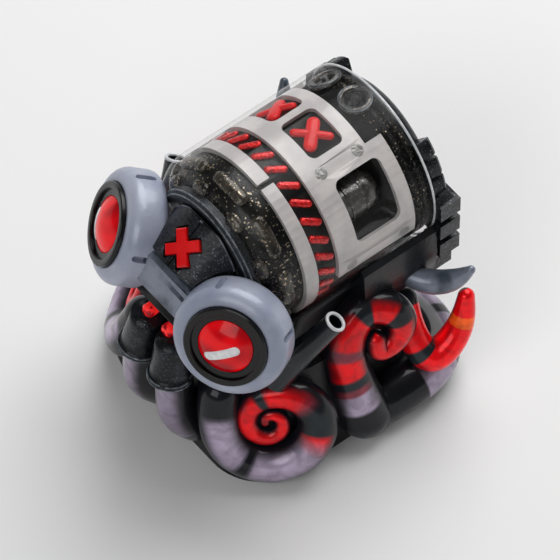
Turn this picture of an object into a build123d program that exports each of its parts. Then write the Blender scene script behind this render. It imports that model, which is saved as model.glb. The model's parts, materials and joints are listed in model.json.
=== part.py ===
"""Artisan keycap: a mechanical octopus with a drum body, goggles and eight coiled arms.

Sizes are in millimetres. +Z is up, the face looks toward -Y, and the origin is the middle
of the underside, in line with the cross socket that takes the switch stem.
"""

from build123d import *
from math import cos, radians, sin
import os

# Skirt, cavity and switch socket
skirt_width = 14.8
skirt_corner = 3.4
skirt_height = 6.6
skirt_top_width = 11.6
skirt_top_corner = 4.8
cavity_width = 13.6
cavity_corner = 2.5
cavity_depth = 4.6
cavity_top_width = 11.0
cavity_top_corner = 4.5
stem_diameter = 5.5
stem_recess = 0.6
socket_length = 4.1
socket_width = 1.3
socket_depth = 3.8

# Arms
coil_centre = (5.66, -4.62, 3.97)
coil_turn = 38
coil_lean = 22
coil_reach = 2.5
coil_lead = 1.8
coil_inner_reach = 0.45
coil_proud = 0.35
coil_thick = 1.6
coil_middle = 1.12
coil_join_thick = 1.06
coil_steps = 8
coil_tip = 0.35
front_arm_thick = 1.25
front_arm_top = 1.05
curl_thick = 1.6
curl_tip = 0.42
rear_thick = 1.6
rear_inner_thick = 1.45
loop_thick = 1.05
loop_tip = 0.45

# Drum that stands for the octopus's body
drum_height = 13.5
drum_radius = 5.05
skin_thickness = 0.3
shell_thickness = 0.25
shell_gap = 0.05
drum_front = -3.95
drum_shoulder = 1.55
drum_rear = 7.3
cap_length = 1.0
cap_inset = 0.35
cap_shoulder = 0.8
drum_turn = 20

# Painted work on the drum, as places along its length, widths and angles from its middle
ring_front = -1.73
ring_width = 0.86
ring_gap_angle = 32
ring_gap = 4
channel_width = 1.44
dash_count = 27
dash_length = 1.33
dash_width = 0.43
dash_slant = 32
dash_thickness = 0.2
cage_notch_rear = 4.89
cage_rear = 6.01
cage_notch_half = 44
cage_half = 118
cross_window_angle = 19.5
cross_window_width = 3.0
cross_window_front = 1.73
cross_window_length = 2.35
cross_length = 1.9
cross_width = 0.48
cross_thickness = 0.2
big_window_angle = 75.5
big_window_width = 4.0
big_window_front = 2.0
big_window_length = 3.12
window_corner = 0.45
pocket_depth = 1.7
canister_radius = 0.8
canister_length = 2.6
canister_ring = 0.12
canister_ring_width = 0.35
rivet_radius = 0.37
rivet_places = ((45, 1.73), (45, 4.3), (112.5, 1.5), (112.5, 5.2))
port_angle = 16
port_place = 6.25
port_radius = 0.95
port_bore = 0.68
port_depth = 1.1
port_hollow = 0.8
ridge_height = 0.14
ridge_width = 0.3
ridge_places = (6.3, 6.85)
cut_reach = 1.0

# Collar, head and forehead plate, with places as (along Y, height above the drum's axis)
collar_radius = 4.22
collar_bore = 2.9
collar_length = 0.65
collar_bevel = 0.2
plate_radius = 3.26
plate_thickness = 0.6
plate_half_width = 2.75
plate_rear = (-4.9, 3.59)
plate_front = (-7.34, 1.48)
plate_gap = 0.12
plus_size = 1.9
plus_arm = 0.6
plus_place = 1.35
plus_depth = 0.35
plus_clearance = 0.07
head_half_width = 2.4
head_mouth = (-7.85, -2.6)
head_chin = (-6.6, -4.6)

# Nose bridge and mouth lights, with heights above the drum's axis
bridge_top = (-7.23, 0.86)
bridge_bottom = (-8.24, -1.26)
bridge_thickness = 0.85
bridge_bevel = 0.28
bridge_half_width = 2.3
light_radius = 0.41
light_bevel = 0.15
light_place = (0.86, -7.9, -3.1)

# Goggles, with the height above the drum's axis
goggle_face = (5.28, -7.39, -0.25)
goggle_splay = 30.5
goggle_tilt = 23.6
goggle_radius = 3.36
goggle_depth = 2.4
goggle_round = 0.85
goggle_bevel = 0.6
notch_width = 0.34
notch_length = 1.0
notch_depth = 0.2
bezel_radius = 2.45
bezel_lip = 2.02
bezel_rise = 0.28
bezel_recess = 0.2
lens_radius = 1.6
lens_seat = 0.3
lens_rise = 0.5
seat_depth = 0.6

# Pipes, cuffs and rear harness, with the tops and the straps' heights above the drum's axis
pipe_radius = 0.65
pipe_bore = 0.47
pipe_bore_depth = 1.6
pipe_top = (7.2, -1.15, -1.3)
pipe_foot = (5.3, -3.95, 6.2)
cuff_top_radius = 0.95
cuff_foot_radius = 1.3
cuff_lip = 0.3
cuff_step = 0.12
cuff_top = (1.1, -7.95, -3.8)
cuff_foot = (1.35, -8.35, 6.8)
strap_inner = 4.9
strap_thickness = 0.85
strap_width = 1.1
strap_bottom = -5.3
strap_top = 0.8
strap_block = 0.3
strap_block_heights = (-3.3, -1.6, 0.1)
strap_block_height = 1.2
strap_foot_reach = 2.0
strap_foot_height = 1.0
fin_thick = 0.55
fin_tip = 0.2
fin_path = ((5.6, 5.6, 8.6), (6.6, 6.3, 8.5), (7.7, 7.1, 9.4), (8.4, 7.6, 10.9))
mantle_width = 10.0
mantle_length = 12.0
mantle_corner = 3.0
mantle_top_width = 9.4
mantle_top_length = 11.0
mantle_top = -3.1
mantle_middle = 0.6

skin_radius = drum_radius + skin_thickness
shell_radius = skin_radius + shell_thickness
drum_axis = Axis((0, 0, drum_height), (0, -1, 0))


def tapered_tube(points, start_radius, end_radius, sections):
    """Round arm lofted along a smooth path, narrowing evenly."""
    with BuildPart() as tube:
        with BuildLine() as path:
            Spline(*points)
        line = path.line
        for index in range(sections):
            share = index / (sections - 1)
            with BuildSketch(Plane(origin=line @ share, z_dir=line % share)):
                Circle(start_radius + (end_radius - start_radius) * share)
        loft()
    return tube.part


def drafted_block(width, corner, top_width, top_corner, height):
    """Square block with rounded corners whose four sides lean in towards the top."""
    with BuildPart() as block:
        with BuildSketch():
            RectangleRounded(width, width, corner)
        with BuildSketch(Plane.XY.offset(height)):
            RectangleRounded(top_width, top_width, top_corner)
        loft(ruled=True)
    return block.part


def on_coil(angle, reach, proud):
    """Point of the front coil: its face looks outward past the corner and leans back."""
    side = Vector(sin(radians(coil_turn)), cos(radians(coil_turn)), 0)
    facing = Vector(cos(radians(coil_turn)), -sin(radians(coil_turn)), 0)
    rise = Vector(0, 0, 1) * cos(radians(coil_lean)) - facing * sin(radians(coil_lean))
    front = facing * cos(radians(coil_lean)) + Vector(0, 0, 1) * sin(radians(coil_lean))
    level = side * (reach * cos(radians(angle)))
    return Vector(*coil_centre) + level + rise * (reach * sin(radians(angle))) + front * proud


def drum_section(angle):
    """Plane through the drum's axis: X runs along the drum and Y points outward."""
    turn = radians(90 + drum_turn + angle)
    outward = Vector(cos(turn), 0, sin(turn))
    return Plane(origin=(0, 0, drum_height), x_dir=(0, 1, 0), z_dir=Vector(0, 1, 0).cross(outward))


def drum_tangent(angle, place, radius):
    """Plane that touches the drum: Y runs along the drum and Z points outward."""
    turn = radians(90 + drum_turn + angle)
    outward = Vector(cos(turn), 0, sin(turn))
    origin = Vector(0, place, drum_height) + outward * radius
    return Plane(origin=origin, x_dir=Vector(0, 1, 0).cross(outward), z_dir=outward)


def drum_sector(inner, outer, front, length, middle, half_angle):
    """Curved slab on the drum, from one radius to another, round part of its girth."""
    with BuildPart() as sector:
        with BuildSketch(drum_section(middle - half_angle)):
            with Locations((front + length / 2, (inner + outer) / 2)):
                Rectangle(length, outer - inner)
        revolve(axis=drum_axis, revolution_arc=2 * half_angle)
    return sector.part


def goggle_plane(side):
    """Plane of a goggle's front face; side is 1 on the +X side and -1 on the other."""
    level = cos(radians(goggle_tilt))
    outward = Vector(
        side * level * sin(radians(goggle_splay)),
        -level * cos(radians(goggle_splay)),
        sin(radians(goggle_tilt)),
    )
    place = (side * goggle_face[0], goggle_face[1], drum_height + goggle_face[2])
    return Plane(origin=place, x_dir=outward.cross(Vector(0, 0, 1)), z_dir=outward)


def goggle_room(side, gap):
    """Puck a little larger than a goggle, which cuts a dark gap round it in its neighbours."""
    with BuildPart() as room:
        with BuildSketch(goggle_plane(side).offset(gap)):
            Circle(goggle_radius + gap)
        extrude(amount=-(goggle_depth + 2 * gap))
    return room.part


def between(start, end):
    """Plane at the start point that looks towards the end point."""
    return Plane(origin=start, z_dir=(Vector(*end) - Vector(*start)).normalized())


def raised(point, side):
    """The point on the side asked for, its height counted from the drum's axis."""
    return (side * point[0], point[1], drum_height + point[2])


def mirrored(point, side):
    """The point on the side asked for: 1 keeps it and -1 moves it across the middle."""
    return (side * point[0], point[1], point[2])


# Front corner arm: comes down beside the cuff and coils up facing its corner
coil_narrows = 315
coil_split = 400
coil_join = 385
coil_end = 760
outer_turn = [on_coil(180, coil_reach, 0) + (on_coil(90, coil_lead, 0) - Vector(*coil_centre))]
for angle in (180, 225, 270, coil_narrows):
    outer_turn.append(on_coil(angle, coil_reach, 0))
inner_drop = (coil_reach - coil_inner_reach) / (coil_end - coil_narrows)
for angle in (360, coil_split):
    outer_turn.append(on_coil(angle, coil_reach - (angle - coil_narrows) * inner_drop, 0))
inner_turn = []
for step in range(coil_steps + 1):
    angle = coil_join + (coil_end - coil_join) * step / coil_steps
    reach = coil_reach - (angle - coil_narrows) * inner_drop
    inner_turn.append(on_coil(angle, reach, coil_proud * step / coil_steps))
coil_outer = tapered_tube(outer_turn, coil_thick, coil_middle, 7)
coil_inner = tapered_tube(inner_turn, coil_join_thick, coil_tip, 7)

# Front arms: straight down from under the cuffs, tucked in at the foot
front_arm_path = [(1.25, -8.1, 8.2), (1.45, -8.1, 5.5), (1.6, -7.75, 2.8), (1.6, -6.8, 1.3)]
front_arm = tapered_tube(front_arm_path, front_arm_top, front_arm_thick, 5)

# Middle arm: rises from the side, arches back under the drum and hooks forward
curl_path = [
    (7.3, 0.9, 1.65),
    (6.4, 0.3, 4.2),
    (5.5, 0.9, 6.8),
    (5.6, 2.6, 7.9),
    (6.7, 3.6, 7.4),
    (7.1, 3.1, 6.2),
    (6.9, 2.2, 6.1),
    (6.6, 2.0, 6.9),
]
curl_arm = tapered_tube(curl_path, curl_thick, curl_tip, 7)

# Rear corner arm: runs round its corner on the floor, with its tip looped over itself
rear_base_path = [(1.7, 7.0, 1.9), (4.4, 7.4, 1.9), (6.5, 6.7, 1.9), (7.3, 4.4, 1.9)]
rear_base = tapered_tube(rear_base_path, rear_inner_thick, rear_thick, 6)
rear_loop_path = [(4.6, 4.6, 5.8), (6.6, 4.6, 5.4), (7.8, 5.5, 4.2), (7.8, 6.9, 4.6), (7.4, 8.0, 6.6)]
rear_loop = tapered_tube(rear_loop_path, loop_thick, loop_tip, 7)

# Skirt and arms: one hollow casting
with BuildPart() as tentacle_skirt:
    add(drafted_block(skirt_width, skirt_corner, skirt_top_width, skirt_top_corner, skirt_height))
    for arm in (coil_outer, coil_inner, front_arm, curl_arm, rear_base, rear_loop):
        add(arm, clean=False)
    split(bisect_by=Plane.YZ)
    add(
        drafted_block(cavity_width, cavity_corner, cavity_top_width, cavity_top_corner, cavity_depth),
        clean=False,
        mode=Mode.SUBTRACT,
    )
    mirror(about=Plane.YZ)
tentacle_skirt.part.label = "tentacle_skirt"

# Stem: the boss with the cross socket for the switch
with BuildPart() as switch_stem:
    with BuildSketch(Plane.XY.offset(stem_recess)):
        Circle(stem_diameter / 2)
    extrude(amount=cavity_depth - stem_recess)
    with BuildSketch(Plane.XY.offset(stem_recess)):
        Rectangle(socket_length, socket_width)
        Rectangle(socket_width, socket_length)
    extrude(amount=socket_depth, mode=Mode.SUBTRACT)
switch_stem.part.label = "switch_stem"

# Drum core: rounded at the face end, with a pocket under each big window
with BuildPart() as drum_core:
    with BuildSketch(drum_section(0)):
        with BuildLine():
            front_edge = Line((drum_front, 0), (drum_front, drum_radius - drum_shoulder))
            shoulder = RadiusArc(front_edge @ 1, (drum_front + drum_shoulder, drum_radius), drum_shoulder)
            top_edge = Line(shoulder @ 1, (drum_rear, drum_radius))
            rear_edge = Line(top_edge @ 1, (drum_rear, 0))
            Line(rear_edge @ 1, front_edge @ 0)
        make_face()
    revolve(axis=drum_axis)
    for place in ridge_places:
        add(drum_sector(drum_radius - ridge_height, drum_radius + ridge_height, place, ridge_width, 0, 180))
    for side in (-1, 1):
        middle = big_window_front + big_window_length / 2
        with BuildSketch(drum_tangent(side * big_window_angle, middle, drum_radius - pocket_depth)):
            RectangleRounded(big_window_width, big_window_length, window_corner)
        extrude(amount=2 * pocket_depth, mode=Mode.SUBTRACT)
        with BuildSketch(drum_tangent(side * port_angle, port_place, skin_radius - port_depth)):
            Circle(port_radius)
        extrude(amount=2 * port_depth, mode=Mode.SUBTRACT)
drum_core.part.label = "drum_core"

# Rear cap of the drum
with BuildPart() as rear_cap:
    with BuildSketch(drum_section(0)):
        with Locations((drum_rear, 0)):
            Rectangle(cap_length, drum_radius - cap_inset, align=(Align.MIN, Align.MIN))
        outer_corner = vertices().sort_by(Axis.Y)[-1]
        fillet(outer_corner, cap_shoulder)
    revolve(axis=drum_axis)
rear_cap.part.label = "rear_cap"

# White front ring in segments
with BuildPart() as front_ring:
    add(drum_sector(drum_radius, skin_radius, ring_front, ring_width, 0, 180))
    for side in (-1, 1):
        with BuildSketch(drum_tangent(side * ring_gap_angle, ring_front + ring_width / 2, drum_radius)):
            Rectangle(drum_radius * radians(ring_gap), 2 * ring_width)
        extrude(amount=skin_radius, both=True, mode=Mode.SUBTRACT)
front_ring.part.label = "front_ring"

# White cage with its windows and the notch round the ports
cage_front = ring_front + ring_width + channel_width
with BuildPart() as window_cage:
    add(drum_sector(drum_radius, skin_radius, cage_front, cage_rear - cage_front, 0, cage_half))
    notch = cage_rear - cage_notch_rear
    add(
        drum_sector(
            drum_radius - cut_reach, skin_radius + cut_reach, cage_notch_rear, 2 * notch, 0, cage_notch_half
        ),
        mode=Mode.SUBTRACT,
    )
    for side in (-1, 1):
        middle = cross_window_front + cross_window_length / 2
        with BuildSketch(drum_tangent(side * cross_window_angle, middle, drum_radius - cut_reach)):
            RectangleRounded(cross_window_width, cross_window_length, window_corner)
        extrude(amount=2 * cut_reach, mode=Mode.SUBTRACT)
        middle = big_window_front + big_window_length / 2
        with BuildSketch(drum_tangent(side * big_window_angle, middle, drum_radius - pocket_depth)):
            RectangleRounded(big_window_width, big_window_length, window_corner)
        extrude(amount=2 * pocket_depth, mode=Mode.SUBTRACT)
        for angle, place in rivet_places:
            with BuildSketch(drum_tangent(side * angle, place, drum_radius - cut_reach)):
                Circle(rivet_radius)
            extrude(amount=2 * cut_reach, mode=Mode.SUBTRACT)
window_cage.part.label = "window_cage"

# Rivets set in the cage
with BuildPart() as cage_rivets:
    for side in (-1, 1):
        for angle, place in rivet_places:
            with BuildSketch(drum_tangent(side * angle, place, drum_radius - cut_reach)):
                Circle(rivet_radius)
            extrude(amount=2 * cut_reach)
    cage_length = cage_rear - cage_front
    add(drum_sector(drum_radius, skin_radius, cage_front, cage_length, 0, 180), mode=Mode.INTERSECT)
cage_rivets.part.label = "cage_rivets"

# Red slanted dashes round the black channel
with BuildPart() as channel_dashes:
    channel_middle = cage_front - channel_width / 2
    for index in range(dash_count):
        with BuildSketch(drum_tangent(index * 360 / dash_count, channel_middle, drum_radius - cut_reach)):
            Rectangle(dash_width, dash_length, rotation=-dash_slant)
        extrude(amount=2 * cut_reach)
    dash_room = channel_width
    add(
        drum_sector(drum_radius, drum_radius + dash_thickness, cage_front - dash_room, dash_room, 0, 180),
        mode=Mode.INTERSECT,
    )
channel_dashes.part.label = "channel_dashes"

# Red crosses in the two square windows
with BuildPart() as window_crosses:
    middle = cross_window_front + cross_window_length / 2
    for side in (-1, 1):
        for slant in (-45, 45):
            with BuildSketch(drum_tangent(side * cross_window_angle, middle, drum_radius - cut_reach)):
                SlotOverall(cross_length, cross_width, rotation=slant)
            extrude(amount=2 * cut_reach)
    cross_room = cage_rear - cage_front
    add(
        drum_sector(drum_radius, drum_radius + cross_thickness, cage_front, cross_room, 0, cage_half),
        mode=Mode.INTERSECT,
    )
window_crosses.part.label = "window_crosses"

canisters = []
ports = []
for side, name in ((-1, "right"), (1, "left")):
    # Canister lying in the pocket under a big window
    axis_plane = drum_tangent(
        side * big_window_angle,
        big_window_front,
        drum_radius - pocket_depth + canister_radius + canister_ring,
    )
    profile_plane = Plane(origin=axis_plane.origin, x_dir=(0, 1, 0), z_dir=axis_plane.x_dir)
    with BuildPart() as canister:
        with BuildSketch(profile_plane):
            with BuildLine():
                dome_start = canister_length - canister_radius
                Polyline(
                    (0, 0),
                    (0, canister_radius),
                    (dome_start - canister_ring_width, canister_radius),
                    (dome_start - canister_ring_width, canister_radius + canister_ring),
                    (dome_start, canister_radius + canister_ring),
                    (dome_start, canister_radius),
                )
                RadiusArc((dome_start, canister_radius), (canister_length, 0), canister_radius)
                Line((canister_length, 0), (0, 0))
            make_face()
        revolve(axis=Axis(axis_plane.origin, (0, 1, 0)))
    canister.part.label = f"canister_{name}"
    canisters.append(canister)

    # Port: an open tube set in the rear band, with a stud in its floor
    with BuildPart() as port:
        with BuildSketch(drum_tangent(side * port_angle, port_place, skin_radius - port_depth)):
            Circle(port_radius)
        extrude(amount=2 * port_depth)
        with BuildSketch(drum_tangent(side * port_angle, port_place, skin_radius - port_hollow)):
            Circle(port_bore)
            Circle(port_bore / 3, mode=Mode.SUBTRACT)
        extrude(amount=2 * port_depth, mode=Mode.SUBTRACT)
        add(
            drum_sector(drum_radius / 2, skin_radius, cage_front, drum_rear - cage_front, 0, cage_half),
            mode=Mode.INTERSECT,
        )
    port.part.label = f"rear_port_{name}"
    ports.append(port)

# Clear shell over the whole drum
shell_lip = collar_radius + shell_gap
with BuildPart() as drum_shell:
    inner_shoulder = drum_shoulder + skin_thickness
    outer_shoulder = inner_shoulder + shell_thickness
    shoulder_start = drum_front + drum_shoulder
    with BuildSketch(drum_section(0)):
        with BuildLine():
            outer_arc = RadiusArc(
                (shoulder_start - outer_shoulder, shell_radius - outer_shoulder),
                (shoulder_start, shell_radius),
                outer_shoulder,
            )
            outer_line = Line(outer_arc @ 1, (drum_rear, shell_radius))
            rear_line = Line(outer_line @ 1, (drum_rear, skin_radius))
            inner_line = Line(rear_line @ 1, (shoulder_start, skin_radius))
            inner_arc = RadiusArc(
                (shoulder_start, skin_radius),
                (shoulder_start - inner_shoulder, skin_radius - inner_shoulder),
                -inner_shoulder,
            )
            Line(inner_arc @ 1, outer_arc @ 0)
        make_face()
        with Locations((drum_front, 0)):
            Rectangle(4 * outer_shoulder, 2 * shell_lip, mode=Mode.SUBTRACT)
    revolve(axis=drum_axis)
drum_shell.part.label = "drum_shell"

goggle_parts = []
for side, name in ((1, "right"), (-1, "left")):
    face = goggle_plane(side)

    # Housing: a thick rounded puck with a seat in front and four notches round its rim
    with BuildPart() as goggle:
        with BuildSketch(face):
            Circle(goggle_radius)
        extrude(amount=-goggle_depth)
        rim_edges = edges().filter_by(GeomType.CIRCLE).sort_by(Axis(face.origin, face.z_dir))
        fillet(rim_edges[-1], goggle_round)
        chamfer(rim_edges[0], goggle_bevel)
        with BuildSketch(face):
            Circle(bezel_radius)
        extrude(amount=-seat_depth, mode=Mode.SUBTRACT)
        with BuildSketch(face.offset(-goggle_depth)):
            with PolarLocations(goggle_radius, 4, start_angle=20):
                Rectangle(2 * notch_depth, notch_width)
        extrude(amount=goggle_round + notch_length, mode=Mode.SUBTRACT)
    goggle.part.label = f"goggle_{name}"

    # Bezel: black ring with an inner lip and a seat for the lens
    with BuildPart() as bezel:
        with BuildSketch(face.offset(-seat_depth)):
            Circle(bezel_radius)
        extrude(amount=seat_depth + bezel_rise)
        with BuildSketch(face.offset(bezel_rise)):
            Circle(bezel_lip)
        extrude(amount=-bezel_recess, mode=Mode.SUBTRACT)
        with BuildSketch(face.offset(bezel_rise - bezel_recess)):
            Circle(lens_radius)
        extrude(amount=-lens_seat, mode=Mode.SUBTRACT)
    bezel.part.label = f"bezel_{name}"

    # Lens: a low red dome
    lens_base = face.offset(bezel_rise - bezel_recess - lens_seat)
    lens_profile = Plane(origin=lens_base.origin, x_dir=lens_base.x_dir, z_dir=-lens_base.y_dir)
    with BuildPart() as lens:
        with BuildSketch(lens_profile):
            with BuildLine():
                Polyline((0, lens_seat + lens_rise), (0, 0), (lens_radius, 0), (lens_radius, lens_seat))
                dome_radius = (lens_radius**2 + lens_rise**2) / (2 * lens_rise)
                RadiusArc((lens_radius, lens_seat), (0, lens_seat + lens_rise), -dome_radius)
            make_face()
        revolve(axis=Axis(lens_base.origin, lens_base.z_dir))
    lens.part.label = f"lens_{name}"
    goggle_parts.extend((goggle, bezel, lens))
goggle_right, bezel_right, lens_right, goggle_left, bezel_left, lens_left = goggle_parts

# Head: black core under the plate, between the collar and the goggles
slope = Vector(0, plate_front[0] - plate_rear[0], plate_front[1] - plate_rear[1]).normalized()
slope_up = slope.cross(Vector(1, 0, 0))
bridge_fall = Vector(0, bridge_bottom[0] - bridge_top[0], bridge_bottom[1] - bridge_top[1]).normalized()
bridge_out = bridge_fall.cross(Vector(1, 0, 0))
plate_start = Vector(0, plate_rear[0], drum_height + plate_rear[1])
plate_end = Vector(0, plate_front[0], drum_height + plate_front[1])
plate_length = (plate_end - plate_start).length
bridge_start = Vector(0, bridge_top[0], drum_height + bridge_top[1])
bridge_end = Vector(0, bridge_bottom[0], drum_height + bridge_bottom[1])
bridge_length = (bridge_end - bridge_start).length
collar_front = drum_front - collar_length
head_points = [
    plate_end - slope_up * plate_thickness,
    bridge_start - bridge_out * bridge_thickness,
    bridge_end - bridge_out * bridge_thickness,
    Vector(0, head_mouth[0], drum_height + head_mouth[1]),
    Vector(0, head_chin[0], drum_height + head_chin[1]),
    Vector(0, collar_front, drum_height + head_chin[1]),
    Vector(0, collar_front, drum_height + plate_rear[1] - plate_thickness),
]
plate_plane = Plane(origin=plate_start, x_dir=(1, 0, 0), z_dir=slope)
with BuildPart() as head_core:
    with BuildSketch(Plane.YZ):
        with BuildLine():
            Polyline(*[(point.Y, point.Z) for point in head_points], close=True)
        make_face()
    extrude(amount=head_half_width, both=True)
    with BuildSketch(plate_plane.offset(-plate_radius)):
        with Locations((0, -plate_radius)):
            Circle(plate_radius - plate_thickness)
    extrude(amount=6 * plate_radius, mode=Mode.INTERSECT)
    add(goggle_right.part, mode=Mode.SUBTRACT)
    add(goggle_left.part, mode=Mode.SUBTRACT)
head_core.part.label = "head_core"

# Collar between the drum and the head, notched where the goggles press against it
with BuildPart() as collar:
    with BuildSketch(drum_section(0)):
        with Locations((drum_front, collar_bore)):
            Rectangle(collar_length, collar_radius - collar_bore, align=(Align.MAX, Align.MIN))
    revolve(axis=drum_axis)
    chamfer(edges().filter_by(GeomType.CIRCLE).sort_by(Axis.Y)[:2], collar_bevel)
    add(goggle_right.part, mode=Mode.SUBTRACT)
    add(goggle_left.part, mode=Mode.SUBTRACT)
collar.part.label = "collar"

# Forehead plate: curved over the head, with a seat for the plus mark
with BuildPart() as forehead_plate:
    with BuildSketch(plate_plane):
        with Locations((0, -plate_radius)):
            Circle(plate_radius)
            Circle(plate_radius - plate_thickness, mode=Mode.SUBTRACT)
        with Locations((0, -plate_radius / 2)):
            Rectangle(2 * plate_half_width, plate_radius, mode=Mode.INTERSECT)
    extrude(amount=plate_length)
    with BuildSketch(Plane.XZ.offset(-(collar_front - plate_gap))):
        with Locations((0, drum_height)):
            Rectangle(4 * plate_radius, 4 * plate_radius)
    extrude(amount=-4 * plate_radius, mode=Mode.SUBTRACT)
    add(goggle_room(1, plate_gap), mode=Mode.SUBTRACT)
    add(goggle_room(-1, plate_gap), mode=Mode.SUBTRACT)
    plus_plane = Plane(origin=plate_end - slope * plus_place, x_dir=(1, 0, 0), z_dir=slope_up)
    with BuildSketch(plus_plane.offset(-plus_depth)):
        Rectangle(plus_size, plus_arm)
        Rectangle(plus_arm, plus_size)
    extrude(amount=2 * plus_depth, mode=Mode.SUBTRACT)
forehead_plate.part.label = "forehead_plate"

# Red plus mark in its seat
with BuildPart() as plus_mark:
    with BuildSketch(plus_plane.offset(-plus_depth)):
        Rectangle(plus_size - 2 * plus_clearance, plus_arm - 2 * plus_clearance)
        Rectangle(plus_arm - 2 * plus_clearance, plus_size - 2 * plus_clearance)
    extrude(amount=plus_depth)
plus_mark.part.label = "plus_mark"

# Nose bridge: a bevelled bar between the goggles
bridge_plane = Plane(origin=(bridge_start + bridge_end) / 2, x_dir=(1, 0, 0), z_dir=bridge_out)
with BuildPart() as nose_bridge:
    with BuildSketch(bridge_plane):
        Rectangle(2 * bridge_half_width, bridge_length)
    extrude(amount=-bridge_thickness)
    outer_face = faces().sort_by(Axis(bridge_plane.origin, bridge_plane.z_dir))[-1]
    long_edges = outer_face.edges().filter_by(Axis.X)
    chamfer(long_edges, bridge_bevel)
    add(goggle_right.part, mode=Mode.SUBTRACT)
    add(goggle_left.part, mode=Mode.SUBTRACT)
nose_bridge.part.label = "nose_bridge"

# Two red lights below the bridge
with BuildPart() as mouth_lights:
    for side in (-1, 1):
        light_axis = Location(raised(light_place, side), (90, 0, 0))
        with Locations(light_axis):
            Cylinder(light_radius, 2 * light_radius)
    chamfer(faces().sort_by(Axis.Y)[:2].edges(), light_bevel)
    add(head_core.part, mode=Mode.SUBTRACT)
mouth_lights.part.label = "mouth_lights"

cuffs = []
pipes = []
for side, name in ((1, "right"), (-1, "left")):
    # Cuff: a sleeve with a lip, slipped over the top of a front arm
    top, foot = raised(cuff_top, side), mirrored(cuff_foot, side)
    cuff_length = (Vector(*foot) - Vector(*top)).length
    with BuildPart() as cuff:
        axis_plane = between(top, foot)
        with BuildSketch(Plane(origin=axis_plane.origin, x_dir=axis_plane.x_dir, z_dir=axis_plane.y_dir)):
            Polygon(
                (0, 0),
                (cuff_top_radius, 0),
                (cuff_foot_radius - cuff_step, -(cuff_length - cuff_lip)),
                (cuff_foot_radius, -(cuff_length - cuff_lip)),
                (cuff_foot_radius, -cuff_length),
                (0, -cuff_length),
                align=None,
            )
        revolve(axis=Axis(axis_plane.origin, axis_plane.z_dir))
        add(tentacle_skirt.part, mode=Mode.SUBTRACT)
        add(head_core.part, mode=Mode.SUBTRACT)
        add(mouth_lights.part, mode=Mode.SUBTRACT)
        add((goggle_right if side > 0 else goggle_left).part, mode=Mode.SUBTRACT)
    cuff.part.label = f"cuff_{name}"
    cuffs.append(cuff)

    # Pipe: an open black tube that stands up beside the head
    top, foot = raised(pipe_top, side), mirrored(pipe_foot, side)
    with BuildPart() as pipe:
        with BuildSketch(between(foot, top)):
            Circle(pipe_radius)
        extrude(amount=(Vector(*top) - Vector(*foot)).length)
        with BuildSketch(between(top, foot)):
            Circle(pipe_bore)
        extrude(amount=pipe_bore_depth, mode=Mode.SUBTRACT)
        add(tentacle_skirt.part, mode=Mode.SUBTRACT)
    pipe.part.label = f"pipe_{name}"
    pipes.append(pipe)

# Outer shape of the drum with its shell, which cuts the seats of what carries it
with BuildPart() as drum_room:
    with BuildSketch(drum_section(0)):
        with BuildLine():
            Line((shoulder_start - outer_shoulder, 0), outer_arc @ 0)
            add(outer_arc)
            Line(outer_arc @ 1, (drum_rear, shell_radius))
            Line((drum_rear, shell_radius), (drum_rear, 0))
            Line((drum_rear, 0), (shoulder_start - outer_shoulder, 0))
        make_face()
    revolve(axis=drum_axis)

straps = []
fins = []
for side, name in ((1, "right"), (-1, "left")):
    # Strap: a blocky bar down the drum's rear edge, with a foot that runs forward
    middle_plane = Plane.YZ.offset(side * (strap_inner + strap_thickness / 2))
    with BuildPart() as strap:
        with BuildSketch(middle_plane):
            with Locations((drum_rear, drum_height + strap_bottom)):
                Rectangle(strap_width, strap_top - strap_bottom, align=(Align.MIN, Align.MIN))
            with Locations((drum_rear + strap_width, drum_height + strap_bottom)):
                Rectangle(strap_width + strap_foot_reach, strap_foot_height, align=(Align.MAX, Align.MIN))
        extrude(amount=strap_thickness / 2, both=True)
        for height in strap_block_heights:
            with BuildSketch(middle_plane):
                with Locations((drum_rear + (strap_width + strap_block) / 2, drum_height + height)):
                    Rectangle(strap_width + strap_block, strap_block_height)
            extrude(amount=strap_thickness / 2 + strap_block, both=True)
        add(drum_room.part, mode=Mode.SUBTRACT)
        add(rear_cap.part, mode=Mode.SUBTRACT)
        add(tentacle_skirt.part, mode=Mode.SUBTRACT)
    strap.part.label = f"rear_strap_{name}"
    straps.append(strap)

    # Fin: a curved horn that leaves the strap's foot and sweeps out and up
    fin_points = [mirrored(point, side) for point in fin_path]
    with BuildPart() as fin:
        add(tapered_tube(fin_points, fin_thick, fin_tip, 5))
        add(strap.part, mode=Mode.SUBTRACT)
        add(tentacle_skirt.part, mode=Mode.SUBTRACT)
    fin.part.label = f"side_fin_{name}"
    fins.append(fin)

# Mantle: the black body that carries the drum and the head on the skirt
with BuildPart() as mantle:
    with BuildSketch(Plane.XY.offset(skirt_height)):
        with Locations((0, mantle_middle)):
            RectangleRounded(mantle_width, mantle_length, mantle_corner)
    with BuildSketch(Plane.XY.offset(drum_height + mantle_top)):
        with Locations((0, mantle_middle)):
            RectangleRounded(mantle_top_width, mantle_top_length, mantle_corner)
    loft(ruled=True)
    add(drum_room.part, mode=Mode.SUBTRACT)
    add(tentacle_skirt.part, mode=Mode.SUBTRACT)
    add(head_core.part, mode=Mode.SUBTRACT)
    for neighbour in (collar, goggle_right, goggle_left, *cuffs, *pipes, *straps, *fins):
        add(neighbour.part, mode=Mode.SUBTRACT)
mantle.part.label = "mantle"

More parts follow.
